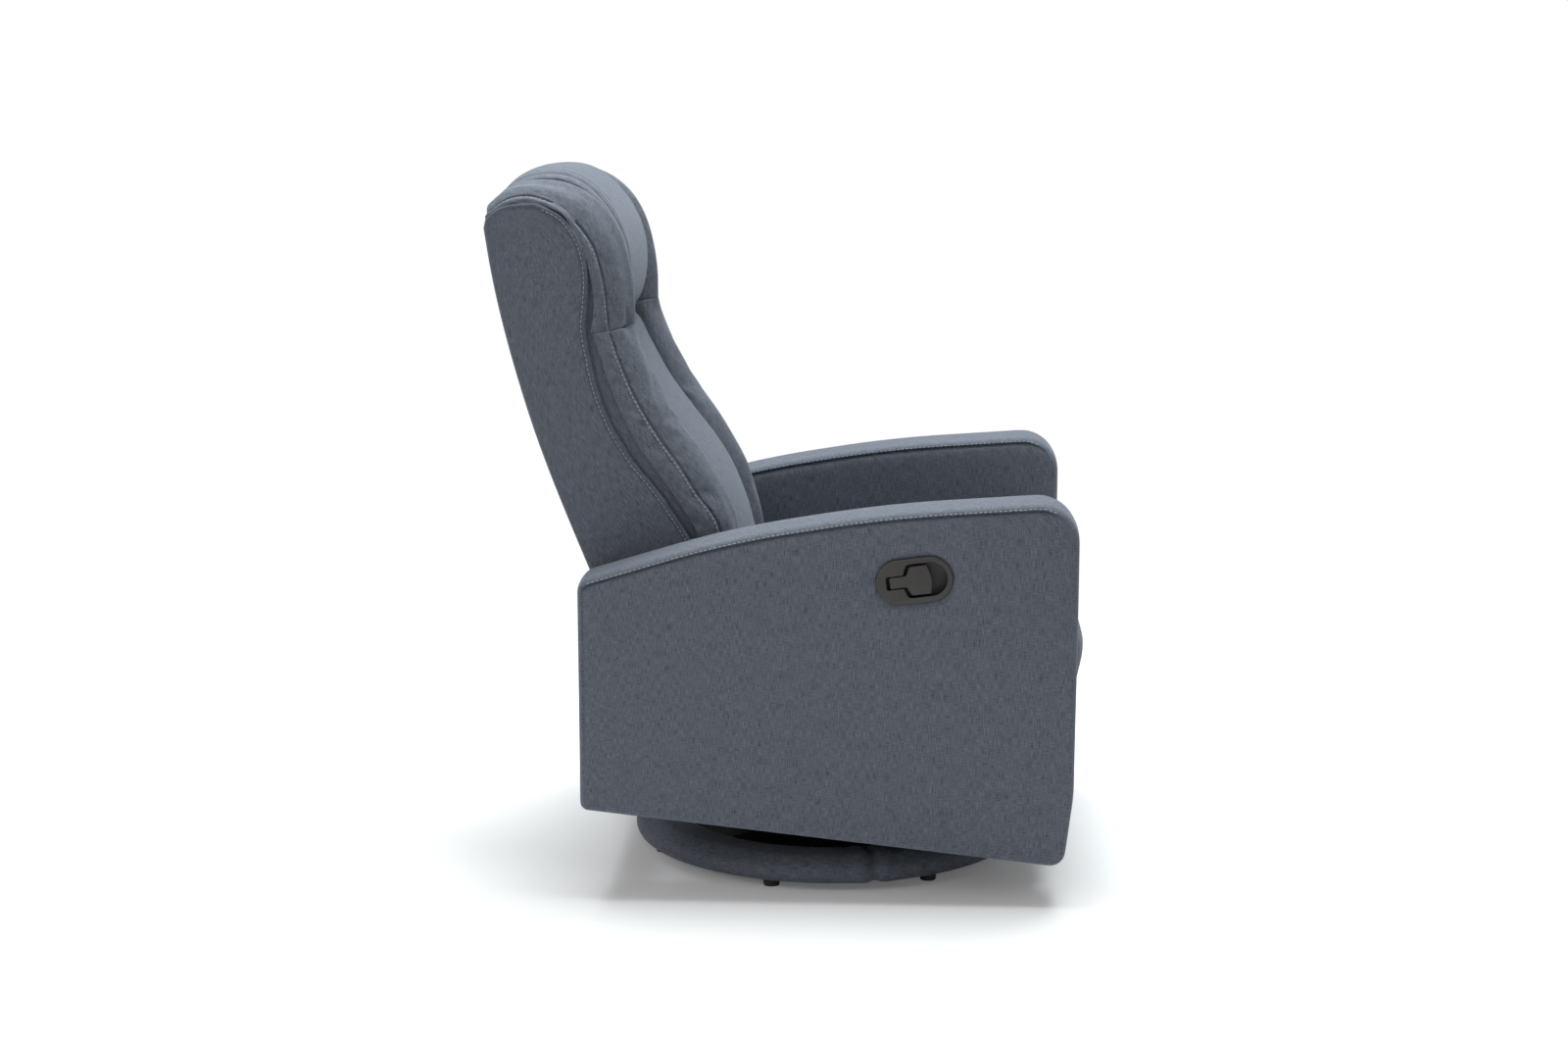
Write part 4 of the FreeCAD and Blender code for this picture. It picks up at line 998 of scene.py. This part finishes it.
def back_panels():
    folds = [(-0.134, 0.0050, 0.20, 0.0020), (-0.122, 0.0032, 0.32, 0.0018), (-0.101, 0.0024, 0.42, 0.0020),
             (-0.060, 0.0008, 0.50, 0.0040), (0.134, 0.0056, 0.10, 0.0030), (0.113, 0.0034, 0.30, 0.0022),
             (0.055, 0.0010, 0.50, 0.0040)]
    centre_panel("head_panel_pad", HEAD_PANEL, [(0, 0.004), (0.3, 0.004), (0.6, 0.008), (1, 0.008)], 0.024,
                 40, (0.008, 0.006), "head_panel", 0.003, 2, folds)
    centre_panel("lumbar_panel_pad", LUMBAR_PANEL, [(0, 0.014), (0.2, 0.014), (0.5, 0.010), (1, 0.002)],
                 0.022, 80, (0.010, 0.006), "lumbar_panel", 0.005, 1)


def back_gusset():
    """Set-back strip of cloth between the side cover and the bolsters."""
    behind = smooth_line(BACK_FRONT, 120) + np.array([-0.014, -0.006])
    front = np.concatenate([smooth_line(HEAD_CREASE, 60)[::-1], smooth_line(SIDE_CREASE, 60)[::-1]])
    front = even(front + np.array([0.010, -0.005]), 120)
    loop = np.concatenate([behind[::-1], front[:-1], even(np.array([front[-1], behind[-1]]), 20)[:-1]])
    corners = [behind[-1] / MM, front[-1] / MM, front[0] / MM, behind[0] / MM]
    piece, _, _ = boxed("back_gusset", loop, corners, 12, 100, (-GUSSET_HALF_W, GUSSET_HALF_W), 0.004,
                        side_view, groove=0.001, strip_steps=30, edge_r=0.004, ease=0.4)
    finish_mesh(piece, 0)
    finished(piece, CLOTH, "back", "upholstery")


# Seat and footrest

SEAT_SEAM_IN = 0.011
SEAT_PAD_THICK = 0.066
SEAT_RIM_Z = 0.061
SEAT_CROWN = 0.0075
FOOT_FACE_X = 0.044
FOOT_CHANNEL_Z = 0.272
FOOT_CHANNEL_DEEP = 0.007
FOOT_CHANNEL_W = 0.006
BOARD_WRAP = 1.5
TUCK_LINE = [(-34, 432), (-46, 417), (-62, 410), (-80, 413), (-96, 428), (-108, 452)]
TUCK_HALF_W = 0.232
FLAP_LINE = [(-222, 326), (-221, 306), (-218, 280), (-212, 250), (-204, 222)]
FLAP_HALF_W = 0.236
STRIP_ROWS = 40
STRIP_COLUMNS = 61
STRIP_WAVES = 70.0


def seat_pad():
    low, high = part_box("seat_cushion")
    half = high.y / MM
    loop, corners = rectangle((low.x / MM, -half), (high.x / MM, half), (26, 34, 34, 26), (6, 9, 9, 6))
    piece, ring, out = boxed("seat_pad", loop, corners, 52, 54, (low.z + 0.0005, low.z + SEAT_PAD_THICK),
                             SEAT_SEAM_IN, top_view, crown=domed(0.0, SEAT_CROWN), groove=0.004,
                             bulge=0.006, strip_steps=12, edge_r=0.013)
    points = points_of(piece)
    x, y = (ring - out * SEAT_SEAM_IN).T
    rim, _ = near(points, top_view(x, y, low.z + SEAT_RIM_Z))
    puffed(piece, (rim < 0.003) | (points[:, 2] < low.z + 0.012), 0.012, 0.01)
    finish_mesh(piece)
    finished(piece, CLOTH, "seat", "upholstery", "seat_cushion")


def foot_pad():
    low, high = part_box("footrest_pad")
    half = high.y / MM
    loop, corners = rectangle((-half, low.z / MM), (half, high.z / MM), (30, 30, 26, 26), (8, 8, 7, 7))
    table = np.array(PAD_FRONT, float) * MM
    face = low.x + FOOT_FACE_X

    def crown(panel, swell, way):
        if way < 0:
            return 0.0 * swell
        y, z = panel[..., 0], panel[..., 1]
        reach = np.interp(z, table[:, 0], table[:, 1]) - face
        inside = 1 - np.exp((np.abs(y) - high.y) / 0.020)
        inside = inside * (1 - np.exp((z - high.z) / 0.010))
        inside = inside * (1 - np.exp((low.z - z) / 0.020))
        channel = FOOT_CHANNEL_DEEP * np.exp(-((z - FOOT_CHANNEL_Z) / FOOT_CHANNEL_W) ** 2)
        return (reach - channel) * inside

    piece, _, _ = boxed("foot_pad", loop, corners, 56, 48, (low.x + 0.0002, face), 0.010, front_view,
                        crown=crown, groove=0.003, bulge=0.003, strip_steps=9, edge_r=0.012)
    points = points_of(piece)
    pinned = (points[:, 0] < low.x + 0.02) | (np.abs(points[:, 2] - FOOT_CHANNEL_Z) < 0.004)
    puffed(piece, pinned, 0.004, 0.01)
    finish_mesh(piece)
    finished(piece, CLOTH, "footrest", "upholstery", "footrest_pad")


def board_cover():
    """Cloth drawn over the footrest's board, behind its pad."""
    low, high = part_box("footrest_board")
    half = high.y / MM + BOARD_WRAP
    z0, z1 = low.z / MM - BOARD_WRAP, high.z / MM + BOARD_WRAP
    loop, corners = rectangle((-half, z0), (half, z1), [5] * 4, [1] * 4)
    piece, _, _ = boxed("footrest_board_cover", loop, corners, 24, 16, (low.x, high.x + 0.0004), 0.004,
                        front_view, groove=0.0003, bulge=0.0, strip_steps=4, edge_r=0.003)
    finish_mesh(piece)
    finished(piece, CLOTH, "footrest", "upholstery", "footrest_board")


def cloth_strip(name, line, half_w, thick, sway):
    """Strip of cloth across the chair, along a line seen from the side."""
    middle = smooth_line(line, STRIP_ROWS)
    y = np.linspace(-half_w, half_w, STRIP_COLUMNS)
    x = middle[:, :1] + sway * np.linspace(0, 1, STRIP_ROWS)[:, None] * np.sin(y * STRIP_WAVES)
    piece = grid_piece(name, side_view(x, middle[:, 1:], y))
    applied(piece, "SOLIDIFY", thickness=thick, offset=0)
    finish_mesh(piece, 0)
    return piece, middle


def seat_tuck():
    """Cloth that closes the crease behind the seat."""
    piece, middle = cloth_strip("seat_tuck", TUCK_LINE, TUCK_HALF_W, 0.003, 0.0)
    first, last = middle[8], middle[-8]
    bending(piece, CLOTH, "upholstery", ("seat", "back"), (first[0], 0, first[1]), (last[0], 0, last[1]))
    run_length(middle)[-1]


def rear_flap():
    """Cloth sewn under the back's rear edge, hanging inside the apron."""
    piece, middle = cloth_strip("rear_flap", FLAP_LINE, FLAP_HALF_W, 0.002, 0.0015)
    finished(piece, CLOTH, "back", "upholstery")
    run_length(middle)[-1]


# Rocker coils

def rocker_coils():
    """The four coils, held by the turning plate below and under the chassis above."""
    low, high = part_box("rocker_springs")
    piece = bpy.data.objects.new("rocker_coils", frame["nodes"]["rocker_springs"].data.copy())
    bpy.context.scene.collection.objects.link(piece)
    piece = sewn("rocker_coils", piece)
    bpy.ops.object.shade_smooth_by_angle(angle=math.radians(40))
    bending(piece, BLACK_STEEL, "black_steel", ("swivel", "chassis"), (RING_AXIS_X, 0, low.z),
            (RING_AXIS_X, 0, high.z), "rocker_springs")


# Base ring and rear apron

RING_AXIS_X = 0.058
RING_SECTION = [(235, 15, 4), (235, 52, 14), (285, 55, 30), (318, 32, 18), (304, 13.5, 9)]
RING_SEAM_DEG = 285.0
RING_STEPS = 240
RING_SECTION_STEPS = 48
RING_SEAM_R = 0.28
RING_LOW_Z = 0.0135
HEM_R = 0.2435
HEM_Z = 0.0515
APRON_CROWN = 0.002
# Black sheet across the ring's middle: painted shade for the dark under the chair.
SHADE_SHEET_R = 0.2335
SHADE_SHEET_Z = 0.0240
SHADE_SHEET_SAG = 0.003
SHADE_SHEET_PLEAT = 0.0006
SHADE_SHEET_THICK = 0.0012
SHADE_SHEET_RINGS = 12
SHADE_SHEET_STAPLES = 24


def ring_pad():
    outline = rounded(RING_SECTION)
    section = even(np.concatenate([outline, outline[:1]]), RING_SECTION_STEPS + 1)
    turn = np.linspace(0, 2 * math.pi, RING_STEPS + 1)
    off = (turn - math.radians(RING_SEAM_DEG) + math.pi) % (2 * math.pi) - math.pi
    outwards = unit(section - section.mean(axis=0))
    rows = []
    for angle, way in zip(turn, np.abs(off) * RING_SEAM_R):
        dent = 0.0060 * math.exp(-(way / 0.0045) ** 2) - 0.0022 * math.exp(-((way - 0.018) / 0.012) ** 2)
        pull = 0.0018 * math.sin(angle * 41 + 2 * math.sin(angle * 5)) * math.exp(-(way / 0.09) ** 2)
        radius, z = (section - outwards * (dent + pull * (section[:, 1:2] > 0.03))).T
        rows.append(np.stack([RING_AXIS_X + radius * math.cos(angle), radius * math.sin(angle),
                              np.maximum(z, RING_LOW_Z)], axis=1))
    piece = sewn("base_ring_pad", grid_piece("base_ring_pad", np.array(rows)))
    finish_mesh(piece)
    finished(piece, CLOTH, "base", "upholstery", "base_ring")
    # The black sheet inside the ring is painted shade.
    shade_sheet()
    hem = top_view(RING_AXIS_X + HEM_R * np.cos(turn[:-1]), HEM_R * np.sin(turn[:-1]), HEM_Z)
    stitched("base_ring_hem", [flat_stitches(hem, (0, 0, 1))], "base")


def shade_sheet():
    """Black cloth stapled to the ring's underside, closing its middle and sagging between staples: a dark
    sheet that is painted shade for the shadow inside the ring.
    """
    deselect()
    bpy.ops.mesh.primitive_circle_add(vertices=96, radius=SHADE_SHEET_R, fill_type="NGON",
                                      location=(RING_AXIS_X, 0, SHADE_SHEET_Z))
    piece = named("base_shade_sheet")
    bpy.ops.object.transform_apply(location=True)
    edit_all()
    for _ in range(SHADE_SHEET_RINGS):
        bpy.ops.mesh.inset(thickness=SHADE_SHEET_R / (SHADE_SHEET_RINGS + 1))
    bpy.ops.mesh.poke()
    bpy.ops.object.mode_set(mode="OBJECT")
    points = points_of(piece)
    x, y = points[:, 0] - RING_AXIS_X, points[:, 1]
    share = np.hypot(x, y) / SHADE_SHEET_R
    pleats = np.cos(SHADE_SHEET_STAPLES * np.arctan2(y, x)) * share ** 6
    points[:, 2] -= SHADE_SHEET_SAG * (1 - share ** 2) + SHADE_SHEET_PLEAT * pleats
    set_points(piece, points)
    applied(piece, "SOLIDIFY", thickness=SHADE_SHEET_THICK)
    finish_mesh(piece, 0)
    finished(piece, WEBBING, "base", "webbing")


def apron_pad():
    low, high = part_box("rear_apron")
    half = high.y / MM
    loop, corners = rectangle((-half, low.z / MM), (half, high.z / MM), [8] * 4, [2] * 4)
    piece, _, _ = boxed("apron_pad", loop, corners, 50, 20, (low.x, high.x), 0.006, front_view,
                        crown=domed(APRON_CROWN, 0.0), groove=0.001, strip_steps=4, edge_r=0.006)
    finish_mesh(piece)
    finished(piece, CLOTH, "chassis", "upholstery", "rear_apron")


# Handle

def plate(name, outlines, y_out, thick, edge_r):
    """Flat moulding with rounded edges, from closed (along, across) loops in the handle's own axes."""
    curve = bpy.data.curves.new(name, "CURVE")
    curve.dimensions = "2D"
    curve.fill_mode = "BOTH"
    curve.extrude = thick / 2 - edge_r
    curve.bevel_depth = edge_r
    curve.bevel_resolution = 2
    curve.offset = -edge_r
    for outline in outlines:
        spline = curve.splines.new("POLY")
        spline.points.add(len(outline) - 1)
        flat = np.c_[outline, np.zeros(len(outline)), np.ones(len(outline))]
        spline.points.foreach_set("co", flat.ravel())
        spline.use_cyclic_u = True
    piece = bpy.data.objects.new(name, curve)
    bpy.context.scene.collection.objects.link(piece)
    activate(piece)
    bpy.ops.object.convert(target="MESH")
    piece = named(name)
    points = points_of(piece)
    set_points(piece, in_handle(points[:, 0], points[:, 1], y_out + thick / 2 - points[:, 2]))
    return sewn(name, piece)


def stadium(length, height):
    a, b = length / 2, height / 2
    return rounded([(i * a, j * b, b - 0.01) for i, j in ((-1, -1), (1, -1), (1, 1), (-1, 1))], 16)


def handle():
    """Bezel with a T-shaped opening and the tab that fills it."""
    mouth = [(-41, -10, 2.5), (-16, -10, 2), (-11, -25.3, 8), (48.6, -25.3, 25.2), (48.6, 25.3, 25.2),
             (-10, 25.3, 8), (-15.5, 10, 2), (-41, 10, 2.5)]
    tee = [(-36, -8.5, 2), (-12, -8.5, 3), (-6, -21.5, 6), (22.5, -21.5, 3), (26.5, -1, 45),
           (20.5, 21.5, 3), (-5, 21.5, 5), (-11, 8.5, 3), (-36, 8.5, 2)]
    face = -ARM_OUT_Y
    pieces = [("handle_surround", [stadium(112, 67), rounded(mouth, 8)], face - 0.0012, 0.0047, 0.0013,
               "chassis", "handle_bezel"),
              ("handle_pull", [rounded(tee, 8)], face, 0.005, 0.0013, "tab", "pull_tab")]
    for name, outlines, y_out, thick, edge_r, body, node in pieces:
        piece = plate(name, outlines, y_out, thick, edge_r)
        activate(piece)
        bpy.ops.object.shade_smooth_by_angle(angle=math.radians(38))
        finished(piece, HANDLE_PLASTIC, body, "handle_plastic", node)


# Stage, light and camera

FLOOR_NEAR = 0.75
FLOOR_FAR = 1.9
FLOOR_LIFT = 0.10
WORLD_LOW = 0.08
WORLD_HIGH = 0.42
WORLD_HIGH_AT = 0.8


def stage():
    """Pale floor that keeps the shadow near the chair and runs out to white."""
    deselect()
    bpy.ops.mesh.primitive_plane_add(size=60)
    floor = bpy.context.object
    floor.name = "studio_floor"
    material, tree, shader = blank("pale_floor")
    tree.feed(shader, {"Base Color": (0.88, 0.88, 0.88, 1), "Roughness": 0.9, "Specular IOR Level": 0.1})
    seen = tree.add("LightPath", {})["Is Camera Ray"]
    reach = tree.add("VectorMath", {0: tree.object_coords()}, operation="LENGTH")["Value"]
    far = tree.stretch(reach, FLOOR_NEAR, FLOOR_FAR)
    lift = tree.add("Emission", {"Strength": tree.maths("MULTIPLY", seen, FLOOR_LIFT)})["Emission"]
    both = tree.add("AddShader", {0: shader.outputs["BSDF"], 1: lift})["Shader"]
    white = tree.add("Emission", {})["Emission"]
    mix = tree.add("MixShader", {"Fac": tree.maths("MULTIPLY", far, seen), 1: both, 2: white})["Shader"]
    tree.feed(tree.nodes["Material Output"], {"Surface": mix})
    floor.data.materials.append(material)


def lamp(name, place, aim, size, watts, colour=(1, 1, 1)):
    deselect()
    bpy.ops.object.light_add(type="AREA", location=place)
    light = bpy.context.object
    light.name = name
    light.data.size = size
    light.data.energy = watts
    light.data.color = colour
    light.rotation_euler = (Vector(aim) - Vector(place)).to_track_quat("-Z", "Y").to_euler()


def lights():
    """One broad softbox overhead, a faint one from behind the near side, and a sky that is dim low down."""
    world = bpy.data.worlds.new("studio_world")
    bpy.context.scene.world = world
    world.use_nodes = True
    tree = Tree(world.node_tree)
    height = tree.add("SeparateXYZ", {"Vector": tree.add("TexCoord", {})["Generated"]})["Z"]
    fill = tree.stretch(height, 0.0, WORLD_HIGH_AT, WORLD_LOW, WORLD_HIGH)
    rays = tree.add("LightPath", {})
    seen = tree.maths("MAXIMUM", rays["Is Camera Ray"], rays["Is Glossy Ray"])
    seen = tree.maths("MAXIMUM", seen, rays["Is Transmission Ray"])
    strength = tree.maths("MAXIMUM", seen, fill)
    tree.feed(tree.nodes["Background"], {"Color": (1, 1, 1, 1), "Strength": strength})
    lamp("overhead_softbox", (0.1, 0.5, 3.3), (0.0, 0.1, 0.5), 2.8, 192, (0.93, 0.985, 1.0))
    lamp("side_softbox", (-2.9, -2.6, 2.2), (-0.1, -0.3, 0.5), 1.6, 32, (1.0, 0.98, 0.98))


def camera():
    deselect()
    bpy.ops.object.camera_add(location=CAMERA_PLACE,
                              rotation=(math.pi / 2 - CAMERA_DOWN, 0, CAMERA_TURN))
    view = bpy.context.object
    view.name = "photo_camera"
    view.data.lens = CAMERA_LENS
    view.data.sensor_width = 36.0
    view.data.clip_end = 100.0
    bpy.context.scene.camera = view
    bpy.context.scene.view_settings.view_transform = "Standard"


dress_frame()
camera()
stage()
lights()
for side_name, side_sign in SIDES:
    arm(side_name, side_sign)
back_cover()
back_gusset()
bolsters()
back_panels()
seat_pad()
foot_pad()
board_cover()
seat_tuck()
rear_flap()
rocker_coils()
ring_pad()
apron_pad()
handle()
